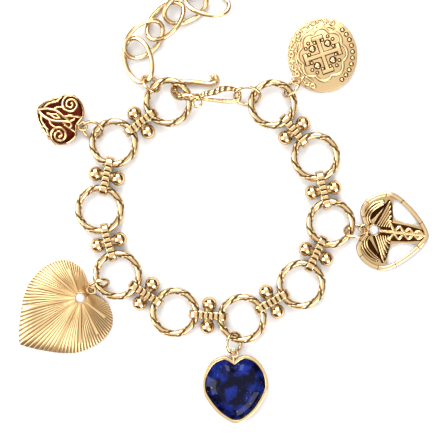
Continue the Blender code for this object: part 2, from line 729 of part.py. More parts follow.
def make_filigree(centres):
    row, place = seat_charm("filigree", centres)
    out = row["out"]
    size = (FILIGREE_OUTLINE, FILIGREE_LENGTH, FILIGREE_WIDTH, out)
    outline = heart(*size)
    middle = out + 0.42 * FILIGREE_LENGTH
    half = FILIGREE_HEIGHT / 2
    levels = [(1.0, half), (0.97, 0.55 * half), (0.85, 0.2 * half), (0.66, 0.03 * half), (0.5, 0.0)]
    bowl = layered("bowl", outline[::2], middle, levels)
    wall = bowl.modifiers.new("wall", "SOLIDIFY")
    wall.thickness = FILIGREE_WALL
    wall.offset = -1.0
    bowl = as_mesh(bowl)
    rim = wire("rim", [(x, y, half) for x, y in inset(outline[::2], FILIGREE_RIM / 3)], FILIGREE_RIM)

    def on_front(x, y):
        share = reach_to(outline, middle, (x, y))
        lift = (half - SCROLL_WIRE / 2) * math.sqrt(max(0.0, 1 - share ** 2.4))
        return (x, y, half + lift)

    half_leaf = [heart_place(point, *size) for point in through(LEAF, 2)]
    leaf = half_leaf + [(x, -y) for x, y in reversed(half_leaf[1:-1])]
    bodies = [bowl, rim, wire("leaf", [on_front(x, y) for x, y in leaf], SCROLL_WIRE, fine=0)]
    for side in (-1, 1):
        centre = Vector(heart_place(SPIRAL_PLACE, *size))
        centre.y *= side
        spiral = []
        for step in range(14):
            angle = 2 * math.pi * SPIRAL_TURNS * step / 13
            radius = SPIRAL_RADIUS * (1.25 - step / 13)
            spiral.append(on_front(centre.x + radius * math.sin(angle), centre.y + side * radius * math.cos(angle)))
        bodies.append(wire("spiral", spiral, SCROLL_WIRE, closed=False, fine=0))
        for scroll in SCROLLS:
            path = [heart_place(point, *size) for point in through(scroll, 2)]
            path = [on_front(x, side * y) for x, y in path]
            bodies.append(wire("scroll", path, SCROLL_WIRE, closed=False, fine=0))
    bodies = [as_mesh(body) if body.type == "CURVE" else body for body in bodies]
    bodies += eye_bodies(row, (out + 0.5 * MM, 0, row["eye"]))
    seat(fuse("filigree_heart", bodies), place, roughness=0.3)


def make_staff(centres):
    row, place = seat_charm("staff", centres)
    size = (STAFF_OUTLINE, STAFF_LENGTH, STAFF_WIDTH, row["out"])
    outline = heart(*size, steps=1)

    def both_sides(rows):
        spots = [heart_place(point, *size) for point in rows]
        return [spots, [(x, -y) for x, y in spots]]

    base = slab("base", [outline] + both_sides(STAFF_GAP) + both_sides(STAFF_WINDOW), 0.0, STAFF_BASE)
    top = STAFF_BASE + STAFF_RAISED
    root = STAFF_BASE / 2
    bodies = [base, slab("frame", [outline, inset(outline, STAFF_BAND)], root, top)]
    bodies += [slab("wing", [wing], root, top) for wing in both_sides(STAFF_WING)]
    for feather in STAFF_FEATHERS:
        bodies += [slab("feather", [side], root, STAFF_BASE + STAFF_RAISED / 2) for side in both_sides(feather)]
    tip = heart_place((0, 0.03), *size)[0]
    neck = heart_place((0, 0.62), *size)[0]
    bodies.append(rod("rod", (neck, 0, STAFF_BASE), (tip, 0, STAFF_BASE - 0.1 * MM), STAFF_ROD, 6))
    for side in (-1, 1):
        coils = []
        for step in range(12):
            share = step / 11
            swing = SERPENT_SWING * (1 - 0.6 * share) * math.cos(2 * math.pi * SERPENT_TURNS * share)
            coils.append((neck + (tip - neck) * (0.1 + 0.82 * share), side * swing, STAFF_BASE - 0.04 * MM))
        bodies.append(as_mesh(wire("serpent", coils, SERPENT_WIRE, closed=False, fine=0)))
    stone = heart_place((0, 0.786), *size)[0]
    body, pocket = cup(stone, 0, root, top + 0.7 * MM)
    bodies.append(body)
    bodies += eye_bodies(row, (EYE_RADIUS + 0.4 * MM, 0, STAFF_BASE))
    seat(combine(fuse("staff_heart", bodies), [pocket], "DIFFERENCE"), place)
    seat(brilliant("staff_crystal", stone, 0, top + 0.7 * MM), place, colour=CLEAR, metallic=0.0, roughness=0.02)


def make_coin(centres):
    row, place = seat_charm("coin", centres)
    turn = math.radians(-row["charm"])
    reach = (COIN_WIDTH + COIN_HEIGHT) / 4
    middle = row["out"] + reach

    def spot(angle, share):
        """A place on the coin: angle in the photograph's own axes, share of the way to the edge."""
        x = share * COIN_WIDTH / 2 * math.cos(math.radians(angle))
        y = share * COIN_HEIGHT / 2 * math.sin(math.radians(angle))
        return (middle + x * math.cos(turn) - y * math.sin(turn), x * math.sin(turn) + y * math.cos(turn))

    step = 360 / COIN_SIDES
    disc = slab("disc", [[spot(step * index, 1.0) for index in range(COIN_SIDES)]], 0.0, COIN_THICKNESS)
    low, high = COIN_THICKNESS - 0.2 * MM, COIN_THICKNESS + COIN_RELIEF
    bodies = [disc]
    arm, bar, foot = CROSS_ARM, CROSS_BAR / 2, CROSS_FOOT / 2
    quarter = [(bar, bar), (arm - bar, bar), (arm - bar, foot), (arm + bar, foot), (arm + bar, -foot),
               (arm - bar, -foot), (arm - bar, -bar)]
    cross = []
    for index in range(4):
        angle = math.radians(19 - 90 * index)
        for x, y in quarter:
            east = x * math.cos(angle) - y * math.sin(angle)
            north = x * math.sin(angle) + y * math.cos(angle)
            cross.append((middle + east * math.cos(turn) - north * math.sin(turn),
                          east * math.sin(turn) + north * math.cos(turn)))
    bodies.append(slab("cross", [cross], low, high))
    for angle in (64, 154, 244, 334):
        x, y = spot(angle, 0.33)
        bodies.append(rod("pellet", (x, y, low), (x, y, high), 1.7 * MM, 6))
    lobes = [(*spot(15 * index + 4, 0.7 + 0.05 * math.cos(math.radians(15 * index * 4))), COIN_THICKNESS)
             for index in range(24)]
    bodies.append(as_mesh(wire("tressure", lobes, 0.6 * MM, fine=0)))
    for angle in range(-50, 60, 11):
        x, y = spot(angle, 0.88)
        bodies.append(rod("bead", (x, y, low), (x, y, high), BEAD_DIAMETER, 6))
    for angle in range(80, 260, 20):
        start, end = spot(angle, 0.82), spot(angle, 0.94)
        bodies.append(rod("dash", (*start, COIN_THICKNESS), (*end, COIN_THICKNESS), 0.6 * MM, 6))
    bodies += eye_bodies(row, (EYE_RADIUS + 0.4 * MM, 0, 0.8 * MM))
    seat(fuse("coin", bodies), place)


def centre_on_table():
    """Moves the table frame so that the whole bracelet is centred on the origin."""
    bpy.context.view_layer.update()
    graph = bpy.context.evaluated_depsgraph_get()
    low = Vector((math.inf, math.inf))
    high = -low
    for obj in BRACELET.objects:
        if obj.type == "EMPTY":
            continue
        seen = obj.evaluated_get(graph)
        mesh = seen.to_mesh()
        for vertex in mesh.vertices:
            place = seen.matrix_world @ vertex.co
            low = Vector((min(low.x, place.x), min(low.y, place.y)))
            high = Vector((max(high.x, place.x), max(high.y, place.y)))
        seen.to_mesh_clear()
    TABLE.location = (-(low.x + high.x) / 2, -(low.y + high.y) / 2, 0.0)


clear_scene()
BRACELET = new_collection("charm_bracelet")
TABLE = piece("table_frame", None)
RING_CENTRES = chain_centres()
make_rings(RING_CENTRES)
make_connectors(RING_CENTRES)
make_extender(RING_CENTRES)
make_hook(RING_CENTRES)
make_filigree(RING_CENTRES)
make_sunburst(RING_CENTRES)
make_lapis(RING_CENTRES)
make_staff(RING_CENTRES)
make_coin(RING_CENTRES)
centre_on_table()
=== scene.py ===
"""Charm bracelet laid flat on a pale table: grooved rings in ball connectors, hook clasp, extender and
five charms. It is laid out as an add-on: sizes and colours are scene properties, each group of like
pieces is an operator, and main() runs them in order."""

import math

import bmesh
import bpy
from bpy.props import FloatProperty, FloatVectorProperty, IntProperty, PointerProperty
from mathutils import Matrix, Vector, noise


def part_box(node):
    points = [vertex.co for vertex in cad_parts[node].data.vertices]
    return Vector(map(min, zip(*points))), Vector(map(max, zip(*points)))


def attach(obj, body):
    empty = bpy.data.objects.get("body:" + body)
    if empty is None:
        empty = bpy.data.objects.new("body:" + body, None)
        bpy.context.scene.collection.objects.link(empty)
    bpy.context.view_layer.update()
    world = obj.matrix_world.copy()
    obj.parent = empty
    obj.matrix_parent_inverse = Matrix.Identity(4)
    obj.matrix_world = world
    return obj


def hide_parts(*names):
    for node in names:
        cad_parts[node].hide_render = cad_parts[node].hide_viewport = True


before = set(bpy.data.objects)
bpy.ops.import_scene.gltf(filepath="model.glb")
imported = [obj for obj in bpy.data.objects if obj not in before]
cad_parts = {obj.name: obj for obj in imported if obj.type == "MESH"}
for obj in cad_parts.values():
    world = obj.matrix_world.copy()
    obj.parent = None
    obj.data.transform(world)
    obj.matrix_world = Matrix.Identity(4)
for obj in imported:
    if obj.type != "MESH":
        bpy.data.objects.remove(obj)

bl_info = {
    "name": "Charm bracelet",
    "version": (1, 0, 0),
    "blender": (4, 5, 0),
    "location": "View3D > Sidebar > Bracelet",
    "description": "Models a charm bracelet round its frame of plain solids",
    "category": "Object",
}

MM = 0.001
WELD = 0.000001
# The recess value paints shade: it blends the gold towards a dark brown and dulls it.
RECESS = "recess"

# Rings that lean by the clasp: the side that is raised, and by how much, in degrees
RING_LEANS = {1: (37.0, 3.0), 10: (130.0, 1.7)}
# Heading and lean of each link of the extender, in degrees
LINK_TURNS = ((105.9, -19.0), (43.6, 19.0), (47.7, -19.0), (28.7, 19.0), (-15.1, -19.0))
EXTENDER_RING_TURN = (-44.7, -50.9)

# Charms. Ring: heading and lean of the jump ring. Eye: height of the charm's eye. Out: the eye's
# middle before the charm's edge. Charm: the way that the charm points, in degrees.
CHARM_COLUMNS = ("heading", "lean", "eye", "out", "charm")
CHARM_ROWS = {
    "filigree": (-11.1, 43.9, 2.7 * MM, 1.5 * MM, 159.8),
    "sunburst": (21.2, 65.0, 1.9 * MM, 0.7 * MM, 217.1),
    "lapis": (84.5, 46.9, 2.2 * MM, 2.2 * MM, 272.8),
    "staff": (179.5, 54.6, 1.9 * MM, 0.5 * MM, -6.3),
    "coin": (229.2, 64.5, 1.9 * MM, 0.3 * MM, 44.5),
}

# From a heart's cleft to its middle, as a share of its length
HEART_MIDDLE = 0.42
# Half outlines of the hearts, of their cut-outs and of their sunk grounds. The hearts run from the
# cleft round to the tip: side as a share of the half width, along as a share of the length from the tip
SUNBURST_OUTLINE = (
    (0.0, 0.93), (0.2, 0.972), (0.45, 1.0), (0.7, 0.968), (0.88, 0.9), (0.985, 0.78),
    (1.0, 0.64), (0.91, 0.455), (0.72, 0.31), (0.45, 0.175), (0.18, 0.06), (0.0, 0.0),
)
LAPIS_OUTLINE = (
    (0.0, 0.926), (0.17, 0.983), (0.37, 1.0), (0.69, 0.926), (0.93, 0.75), (1.0, 0.575),
    (0.93, 0.42), (0.61, 0.185), (0.22, 0.03), (0.0, 0.0),
)
FILIGREE_OUTLINE = (
    (0.0, 0.93), (0.2, 0.97), (0.45, 1.0), (0.78, 0.9), (0.98, 0.72), (0.94, 0.52),
    (0.71, 0.3), (0.42, 0.11), (0.16, 0.01), (0.0, 0.0),
)
STAFF_OUTLINE = (
    (0.0, 0.9), (0.17, 0.945), (0.42, 0.995), (0.62, 0.975), (0.8, 0.9), (0.94, 0.775), (1.0, 0.64),
    (0.97, 0.53), (0.85, 0.41), (0.62, 0.25), (0.35, 0.105), (0.12, 0.02), (0.0, 0.0),
)
STAFF_GAP = ((0.24, 0.84), (0.42, 0.83), (0.62, 0.73), (0.72, 0.645), (0.62, 0.67), (0.36, 0.775))
STAFF_WINDOW = (
    (0.32, 0.5), (0.66, 0.55), (0.84, 0.545), (0.84, 0.5), (0.64, 0.34), (0.4, 0.19),
    (0.27, 0.13), (0.24, 0.2),
)
STAFF_WING = ((0.1, 0.78), (0.28, 0.765), (0.5, 0.7), (0.8, 0.63), (0.72, 0.57), (0.3, 0.53), (0.1, 0.58))
STAFF_GROUND = ((0.0, 0.7), (0.1, 0.69), (0.24, 0.56), (0.2, 0.3), (0.13, 0.06), (0.0, 0.05))
STAFF_LOBE = (
    (0.07, 0.86), (0.12, 0.9), (0.3, 0.95), (0.52, 0.92), (0.7, 0.83), (0.8, 0.69),
    (0.66, 0.69), (0.46, 0.815), (0.3, 0.845), (0.16, 0.82),
)
# Seams across the staff heart's frame, as shares of the way round one side
STAFF_SEAMS = (0.12, 0.3, 0.47, 0.66, 0.83)
# Widths along a feather, from its root to its tip
FEATHER_SHARES = (0.6, 0.7, 0.85, 1.0, 1.1, 1.2, 1.3, 1.3, 1.0)
# Root, bend and tip of a wing's first feather, and the step from each feather to the next
FEATHERS = 6
FEATHER_LINE = ((0.12, 0.755), (0.36, 0.69), (0.76, 0.6))
FEATHER_STEP = ((0.0, -0.036), (-0.03, -0.026), (-0.12, -0.013))
# Along the staff heart: its stone's middle, the rod's upper end, the serpents' necks and the lower end
STAFF_STONE, ROD_TOP, SERPENT_TOP, ROD_END = 0.786, 0.74, 0.62, 0.03
# Stripes of the staff heart's lobes, from the cleft out and round
STAFF_STRIPES = (
    ((0.1, 0.885), (0.3, 0.93), (0.5, 0.905), (0.68, 0.82), (0.77, 0.7)),
    ((0.14, 0.86), (0.3, 0.895), (0.48, 0.868), (0.64, 0.78), (0.73, 0.69)),
    ((0.18, 0.835), (0.3, 0.862), (0.46, 0.835), (0.6, 0.755), (0.68, 0.69)),
)

# Scrolls of the filigree heart on one side, in the same shares as its outline
LEAF = ((0.0, 0.78), (0.1, 0.62), (0.2, 0.42), (0.14, 0.2), (0.0, 0.04))
SCROLLS = (
    ((0.1, 0.62), (0.22, 0.78), (0.3, 0.95)),
    ((0.12, 0.15), (0.34, 0.2), (0.56, 0.36), (0.9, 0.45)),
    ((0.18, 0.34), (0.34, 0.42), (0.42, 0.56)),
    ((0.56, 0.38), (0.5, 0.28), (0.6, 0.24)),
    ((0.02, 0.78), (0.14, 0.84), (0.24, 0.8), (0.2, 0.7)),
    ((0.0, 0.55), (0.07, 0.46), (0.02, 0.36), (0.0, 0.26)),
)
SPIRAL_PLACE = (0.62, 0.66)
# Its back from the rim down: share of the outline, and height as a share of half the heart's height
FILIGREE_BACK = ((1.0, 1.0), (0.985, 0.7), (0.94, 0.42), (0.85, 0.2), (0.7, 0.06), (0.5, 0.0), (0.25, 0.0))

# Grooves of a chain ring: how many, depth as a share of the wire's radius, and sharpness
RING_GROOVES = (2, 0.34, 7)

# Raised rays of the sunburst: heading from the stone, and reach as a share of the heart's length
RAYS = (
    (-104, 0.33), (-78, 0.42), (-52, 0.47), (-27, 0.62), (0, 0.72), (27, 0.62), (52, 0.47),
    (78, 0.42), (104, 0.33),
)

# The hook's wire from its curled end to the neck. Along is a share of the way from the first ring's
# wire to the last ring's; side and lift are shares of the hook's throat; width is a share of its wire.
HOOK_ROWS = (
    (0.343, 1.48, 0.05, 0.42), (0.340, 1.59, 0.05, 0.44), (0.371, 1.69, 0.04, 0.50),
    (0.413, 1.64, 0.03, 0.56), (0.433, 1.47, 0.01, 0.61), (0.402, 1.26, 0.00, 0.64),
    (0.312, 1.17, 0.00, 0.67), (0.137, 1.23, 0.00, 0.67), (-0.031, 1.28, 0.00, 0.67),
    (-0.145, 1.26, 0.00, 0.69), (-0.224, 1.12, 0.01, 0.74), (-0.257, 0.85, 0.14, 0.82),
    (-0.250, 0.57, 0.45, 0.96), (-0.191, 0.35, 0.79, 1.00), (-0.088, 0.28, 0.97, 1.00),
    (0.034, 0.29, 1.00, 1.00), (0.141, 0.29, 0.92, 0.83),
)
# The eye from the neck over its thick strand, round its end and back along the thin strand
HOOK_EYE_ROWS = (
    (0.157, 0.29, 0.90), (0.222, 0.46, 1.20), (0.286, 0.53, 1.40), (0.412, 0.66, 1.60),
    (0.511, 0.83, 1.60), (0.637, 0.88, 1.35), (0.737, 0.82, 1.10), (0.802, 0.66, 1.00),
    (0.812, 0.44, 0.95), (0.796, 0.22, 0.95), (0.737, 0.14, 1.00), (0.611, 0.09, 1.05),
    (0.461, 0.12, 0.95), (0.312, 0.16, 0.85), (0.222, 0.18, 0.80),
)
# Middle of the wrap at the neck, in the same shares, and the lean of the oval ring in degrees
COLLAR_PLACE = (0.125, 0.29)
HOOK_RING_LEAN = 46.0

# Coin: turns in degrees from the right, and places as shares of the way from its middle to its edge
CROSS_TURN = 19
BOSS_TURNS, BOSS_SHARE = (64, 154, 244, 334), 0.33
DOTS = ((-27, 0.38), (-9, 0.5), (9, 0.5), (27, 0.38))
ARC_TURNS, ARC_SHARE = range(64, 250, 24), 0.755
BEAD_TURNS, BEAD_SHARE = range(-50, 60, 11), 0.86
MARK_TURNS, MARK_SHARE = range(72, 262, 12), 0.88

# Studio lights: name, place in metres, width in metres and power in watts
LIGHTS = (
    ("key", (-0.1, 0.8, 0.7), 0.8, 11.0),
    ("fill", (-0.8, -0.1, 0.55), 0.7, 7.0),
    ("front", (0.5, -0.75, 0.6), 0.7, 7.0),
)
CAMERA_PLACE = (-0.98 * MM, -4.28 * MM, 330 * MM)
# Focal length and sensor width in millimetres, and half the table's side in metres
LENS, SENSOR = 100, 36
TABLE_HALF = 1.5


def length(name, description, millimetres):
    return FloatProperty(
        name=name, description=description, default=millimetres * MM, unit="LENGTH", subtype="DISTANCE"
    )


def linear(code):
    """A colour's hex code turned from sRGB to linear."""
    shades = [int(code[place:place + 2], 16) / 255 for place in (0, 2, 4)]
    return [shade / 12.92 if shade <= 0.04045 else ((shade + 0.055) / 1.055) ** 2.4 for shade in shades]


def colour(name, description, code):
    return FloatVectorProperty(
        name=name, description=description, default=linear(code), size=3, min=0, max=1, subtype="COLOR"
    )


class ChainSizes(bpy.types.PropertyGroup):
    """Sizes of the chain, the jump rings and the extender"""

    ring_outer: length("Ring", "Outer diameter of a chain ring", 13.4)
    ring_wire: length("Ring wire", "Diameter of a chain ring's wire", 1.9)
    ring_turns: IntProperty(name="Twist", description="Turns of the grooves round a chain ring", default=4)
    strap_thickness: length("Strap", "Thickness of a connector's strap", 0.7)
    strap_width: length("Strap width", "Width of a connector's strap", 2.1)
    wire_room: length("Room", "Room between a ring's wire and the strap", 0.3)
    wire_spacing: length("Spacing", "From one ring's wire to the next in a strap", 6.76)
    rib_pitch: length("Ribs", "From one rib of a strap to the next", 1.35)
    ball: length("Ball", "Diameter of a ball", 3.9)
    ball_spread: length("Ball spread", "Between the middles of two balls", 6.2)
    barrel: length("Barrel", "Diameter of the bar between two balls", 2.6)
    jump_radius: length("Jump ring", "Mean radius of a jump ring", 2.75)
    jump_wire: length("Jump wire", "Diameter of a jump ring's wire", 0.8)
    link_half_length: length("Link", "Half length of an extender link", 6.1)
    link_half_width: length("Link width", "Half width of an extender link", 3.8)
    link_wire: length("Link wire", "Diameter of an extender link's wire", 1.3)
    extender_ring_radius: length("Extender ring", "Mean radius of the extender's ring", 2.6)
    extender_ring_wire: length("Extender wire", "Diameter of the extender ring's wire", 0.9)


class HookSizes(bpy.types.PropertyGroup):
    """Sizes of the hook clasp"""

    wire: length("Wire", "Diameter of the hook's wire", 1.8)
    strand: length("Strand", "Diameter of the eye's thick strand", 1.15)
    curl_radius: length("Curl", "Mean radius of the curl at the neck", 1.08)
    curl_wire: length("Curl wire", "Diameter of the curl's wire", 0.7)
    collar: length("Collar", "Diameter of the wrap at the neck", 2.1)
    collar_length: length("Collar length", "Length of the wrap at the neck", 0.8)
    shank: length("Shank", "Height of the shank's middle", 4.6)
    eye: length("Eye", "Height of the eye's far end", 2.25)
    tongue: length("Tongue", "Height of the tongue's middle", 0.8)
    throat: length("Throat", "Unit of the hook's sides", 4.45)
    crinkle: length("Crinkle", "Size of the hammer marks on the bend", 0.7)
    wrap: length("Wrap", "Diameter of the wire wrapped round the neck", 0.34)
    ring_radius: length("Ring", "Half length of the oval ring", 3.4)
    ring_half_width: length("Ring width", "Half width of the oval ring", 3.0)


class CharmSizes(bpy.types.PropertyGroup):
    """Sizes of the five charms"""

    eye_radius: length("Eye", "Mean radius of a charm's eye", 1.1)
    eye_wire: length("Eye wire", "Diameter of an eye's wire", 0.5)
    eye_post: length("Post", "Diameter of the post under an eye", 0.9)
    crystal: length("Crystal", "Diameter of a clear stone", 2.4)
    crystal_height: length("Crystal height", "Height of a clear stone", 1.2)
    cup_wall: length("Cup", "Wall of a clear stone's cup", 0.4)
    sunburst_length: length("Sunburst", "Length of the sunburst heart", 25.6)
    sunburst_width: length("Sunburst width", "Width of the sunburst heart", 25.1)
    sunburst_thickness: length("Sunburst plate", "Thickness of the sunburst heart", 0.9)
    sunburst_dome: length("Sunburst dome", "Rise of the sunburst heart", 1.5)
    sunburst_inset: length("Sunburst stone", "From the cleft to the stone's middle", 2.9)
    ray_height: length("Ray", "Height of a raised ray", 0.25)
    ray_width: length("Ray width", "Width of a raised ray at its end", 1.35)
    grooves: IntProperty(name="Grooves", description="Number of the sunburst's fine grooves", default=100)
    groove_depth: length("Groove", "Depth of a fine groove and of the milled edge", 0.12)
    lapis_length: length("Lapis", "Length of the lapis heart", 17.9)
    lapis_width: length("Lapis width", "Width of the lapis heart", 17.7)
    lapis_rim_height: length("Rim height", "Height of the lapis heart's rim", 2.6)
    lapis_rim: length("Rim", "Width of the lapis heart's rim", 0.8)
    lapis_floor: length("Floor", "Thickness of the plate under the lapis", 0.6)
    lapis_crown: length("Crown", "Rise of the lapis above its rim", 1.2)
    filigree_length: length("Filigree", "Length of the filigree heart", 12.4)
    filigree_width: length("Filigree width", "Width of the filigree heart", 14.0)
    filigree_height: length("Filigree height", "Height of the filigree heart", 5.4)
    filigree_wall: length("Filigree wall", "Wall of the filigree heart's back", 0.6)
    filigree_rim: length("Filigree rim", "Diameter of the filigree heart's rim", 1.0)
    scroll: length("Scroll", "Diameter of a scroll's wire", 0.75)
    spiral: length("Spiral", "Radius of a filigree spiral", 2.2)
    staff_length: length("Staff heart", "Length of the staff heart", 19.0)
    staff_width: length("Staff heart width", "Width of the staff heart", 21.2)
    staff_base: length("Staff plate", "Thickness of the staff heart's plate", 1.1)
    staff_raised: length("Staff relief", "Height of the staff heart's relief", 0.45)
    staff_band: length("Staff band", "Width of the staff heart's frame", 1.2)
    staff_rod: length("Staff rod", "Diameter of the staff", 1.1)
    serpent: length("Serpent", "Diameter of a serpent", 0.9)
    serpent_swing: length("Swing", "How far a serpent swings at the top", 1.9)
    feather: length("Feather", "Width of a feather and of a lobe's stripe", 0.5)
    seam: length("Seam", "Width of a seam across the staff heart's frame", 0.26)
    coin_width: length("Coin", "Width of the coin", 18.9)
    coin_height: length("Coin height", "Height of the coin across", 20.4)
    coin_thickness: length("Coin thickness", "Thickness of the coin", 1.3)
    coin_relief: length("Coin relief", "Height of the coin's relief", 0.3)
    cross_arm: length("Cross", "Reach of the cross's arms", 4.6)
    cross_bar: length("Cross bar", "Width of the cross's bars", 0.9)
    cross_foot: length("Cross foot", "Width across an arm's foot", 3.0)
    bead: length("Bead", "Diameter of a border bead", 0.9)
    boss: length("Boss", "Diameter of a boss between the cross's arms", 1.4)
    dot: length("Dot", "Diameter of a dot round a boss", 0.6)
    border_line: length("Border line", "Width of the lobed line round the cross", 0.85)
    stroke: length("Stroke", "Width of a mark round the border", 0.75)
    arc: length("Arc", "Width of an arc inside the border", 0.7)


class BraceletColours(bpy.types.PropertyGroup):
    """Colours of the bracelet and its table"""

    gold: colour("Gold", "Pale yellow gold plate", "F3D19B")
    # Painted shade: this brown is painted into grooves, hollows and joins where shade falls.
    recess_shade: colour("Patina", "Brown left in the recesses", "40210A")
    # Painted shade: this dark red-brown stands for the shadowed inside of the filigree heart.
    garnet: colour("Garnet patina", "Dark red-brown inside the filigree", "7A2E20")
    crystal: colour("Crystal", "Clear stone", "F1F5FF")
    lapis: colour("Lapis", "Deep blue of the stone", "04061E")
    lapis_cloud: colour("Lapis cloud", "Lighter blue in the stone", "1A2F90")
    pyrite: colour("Pyrite", "Flecks in the stone", "E3DDC2")
    table: colour("Table", "White paper", "FAFAFA")
    dusk: colour("Dusk", "What the studio's dark side gives", "1E1006")


def chain_sizes():
    return bpy.context.scene.bracelet_chain


def hook_sizes():
    return bpy.context.scene.bracelet_hook


def charm_sizes():
    return bpy.context.scene.bracelet_charms


def colours():
    return bpy.context.scene.bracelet_colours


def box_middle(node):
    low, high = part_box(node)
    return (low + high) / 2


def standing(place, heading, lean=0.0):
    """Stands a flat piece at a place, turned to a heading and then leant about its own length."""
    turn = Matrix.Rotation(math.radians(heading), 4, "Z")
    return Matrix.Translation(place) @ turn @ Matrix.Rotation(math.radians(lean), 4, "X")


def new_shape():
    shape = bmesh.new()
    shape.verts.layers.float.new(RECESS)
    return shape


def paint_shade(shape, verts, shade_amount):
    """Marks points with a recess value, which blends their colour towards the brown of painted shade."""
    layer = shape.verts.layers.float[RECESS]
    for vert in verts:
        vert[layer] = shade_amount


def paint_side_shade(shape, shade_amount):
    """Painted shade: the sides of a piece are darkened by how far their normals turn from straight up, and
    its tops stay pale.
    """
    layer = shape.verts.layers.float[RECESS]
    shape.normal_update()
    for vert in shape.verts:
        side = min(1.0, max(0.0, (0.8 - vert.normal.z) / 0.6))
        vert[layer] = max(vert[layer], shade_amount * side ** 1.5)


def add_piece(name, shape, nodes, material, place=None, crease=40, sides=0.6):
    """Makes a finished piece of the object, which stands for these solids."""
    bmesh.ops.remove_doubles(shape, verts=shape.verts, dist=WELD)
    bmesh.ops.recalc_face_normals(shape, faces=shape.faces)
    if place:
        bmesh.ops.transform(shape, matrix=place, verts=shape.verts)
    # Painted shade on the sides of the piece; sides sets how much.
    paint_side_shade(shape, sides)
    mesh = bpy.data.meshes.new(name)
    shape.to_mesh(mesh)
    shape.free()
    mesh.shade_smooth()
    mesh.set_sharp_from_angle(angle=math.radians(crease))
    mesh.materials.append(material)
    piece = bpy.data.objects.new(name, mesh)
    bpy.context.scene.collection.objects.link(piece)
    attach(piece, "root")
    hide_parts(*nodes)
    return piece


def oval(half_length, half_width, sides):
    angles = [2 * math.pi * index / sides for index in range(sides)]
    return [(half_length * math.cos(a), half_width * math.sin(a), 0.0) for a in angles]


def through(rows, steps, closed=False):
    """Points on a smooth curve through the rows, from the first to the last, or all the way round."""
    rows = [Vector(row) for row in rows]
    if closed:
        ends = rows[-1:] + rows + rows[:2]
    else:
        ends = [rows[0]] + rows + [rows[-1]]
    points = []
    for before, start, end, after in zip(ends, ends[1:], ends[2:], ends[3:]):
        for step in range(steps):
            t = step / steps
            points.append(
                0.5 * (2 * start + (end - before) * t
                       + (2 * before - 5 * start + 4 * end - after) * t * t
                       + (3 * start - before - 3 * end + after) * t * t * t)
            )
    return points if closed else points + [rows[-1]]


def edges_of(verts):
    """The edges at these points, each once and always in the same order."""
    return list(dict.fromkeys(edge for vert in verts for edge in vert.link_edges))


def drawn_out(shape, edges):
    """Draws edges out: the new points, which still lie on the old ones, and the new edges."""
    grown = bmesh.ops.extrude_edge_only(shape, edges=edges)["geom"]
    verts = [item for item in grown if isinstance(item, bmesh.types.BMVert)]
    return verts, [item for item in grown if isinstance(item, bmesh.types.BMEdge)]


def section_frames(points, widths, heights, closed, turns):
    """A frame for each section of a tube: X across the path, Y up from it, Z along it."""
    frames = []
    count = len(points)
    for index, point in enumerate(points):
        after = points[(index + 1) % count] if closed else points[min(index + 1, count - 1)]
        before = points[index - 1] if closed else points[max(index - 1, 0)]
        ahead = (after - before).normalized()
        aside = ahead.cross(Vector((0, 0, 1))).normalized()
        up = aside.cross(ahead)
        turned = Matrix((aside * widths[index] / 2, up * heights[index] / 2, ahead)).transposed().to_4x4()
        turned = turned @ Matrix.Rotation(2 * math.pi * turns * index / count, 4, "Z")
        frames.append(Matrix.Translation(point) @ turned)
    return frames


def tube(shape, points, width, sides=12, height=None, shares=None, closed=False, turns=0, bump=None):
    """Sweeps a round section along the points. Shares scale it at each point, and open ends are rounded.
    Bump gives, for a turn about the wire and a place, how far the surface sinks and how much shade is painted
    there."""
    points = [Vector(point) for point in points]
    shares = list(shares) if shares else [1.0] * len(points)
    if not closed:
        for end, near in ((0, 1), (-1, -2)):
            out = (points[end] - points[near]).normalized() * width / 2 * shares[end]
            tips = [(points[end] + out * 0.7, shares[end] * 0.71), (points[end] + out, shares[end] * 0.2)]
            for point, share in tips:
                place = 0 if end == 0 else len(points)
                points.insert(place, point)
                shares.insert(place, share)
    widths = [width * share for share in shares]
    heights = [(height or width) * share for share in shares]
    frames = section_frames(points, widths, heights, closed, turns)
    first = bmesh.ops.create_circle(shape, segments=sides, radius=1.0)["verts"]
    bmesh.ops.transform(shape, matrix=frames[0], verts=first)
    first_edges = edges_of(first)
    edges = first_edges
    sections = [(first, frames[0])]
    following = frames[1:] + (frames[:1] if closed else [])
    before = frames[0]
    for target in following:
        verts, edges = drawn_out(shape, edges)
        bmesh.ops.transform(shape, matrix=target @ before.inverted(), verts=verts)
        sections.append((verts, target))
        before = target
    if closed:
        verts = sections.pop()[0]
        pairs = bmesh.ops.find_doubles(shape, verts=first + verts, keep_verts=first, dist=width / sides)
        bmesh.ops.weld_verts(shape, targetmap=pairs["targetmap"])
    else:
        bmesh.ops.holes_fill(shape, edges=first_edges + edges)
    if bump:
        carve(shape, sections, bump)


def carve(shape, sections, bump):
    """Sinks the points of a tube's sections as the bump says, and paints shade on them as it says."""
    layer = shape.verts.layers.float[RECESS]
    for verts, place in sections:
        back = place.inverted()
        centre = place.translation.copy()
        for vert in verts:
            local = back @ vert.co
            sink, recess = bump(math.atan2(local.y, local.x), vert.co)
            vert.co = centre + (vert.co - centre) * (1 - sink)
            vert[layer] = recess


def grooved(count, depth, sharpness):
    """A bump of grooves that run along the wire, with painted shade in them."""
    def bump(turn, place):
        groove = (0.5 + 0.5 * math.cos(count * turn)) ** sharpness
        return depth * groove, min(1.0, 1.3 * groove)
    return bump


def crinkled(grain, depth):
    """A bump of rough hammer marks, with painted shade in their hollows."""
    def bump(turn, place):
        coarse, fine = noise.noise(place / grain), noise.noise(place * 2.3 / grain)
        mark = max(0.0, coarse + 0.5 * fine)
        return depth * mark, min(1.0, 2.6 * mark)
    return bump


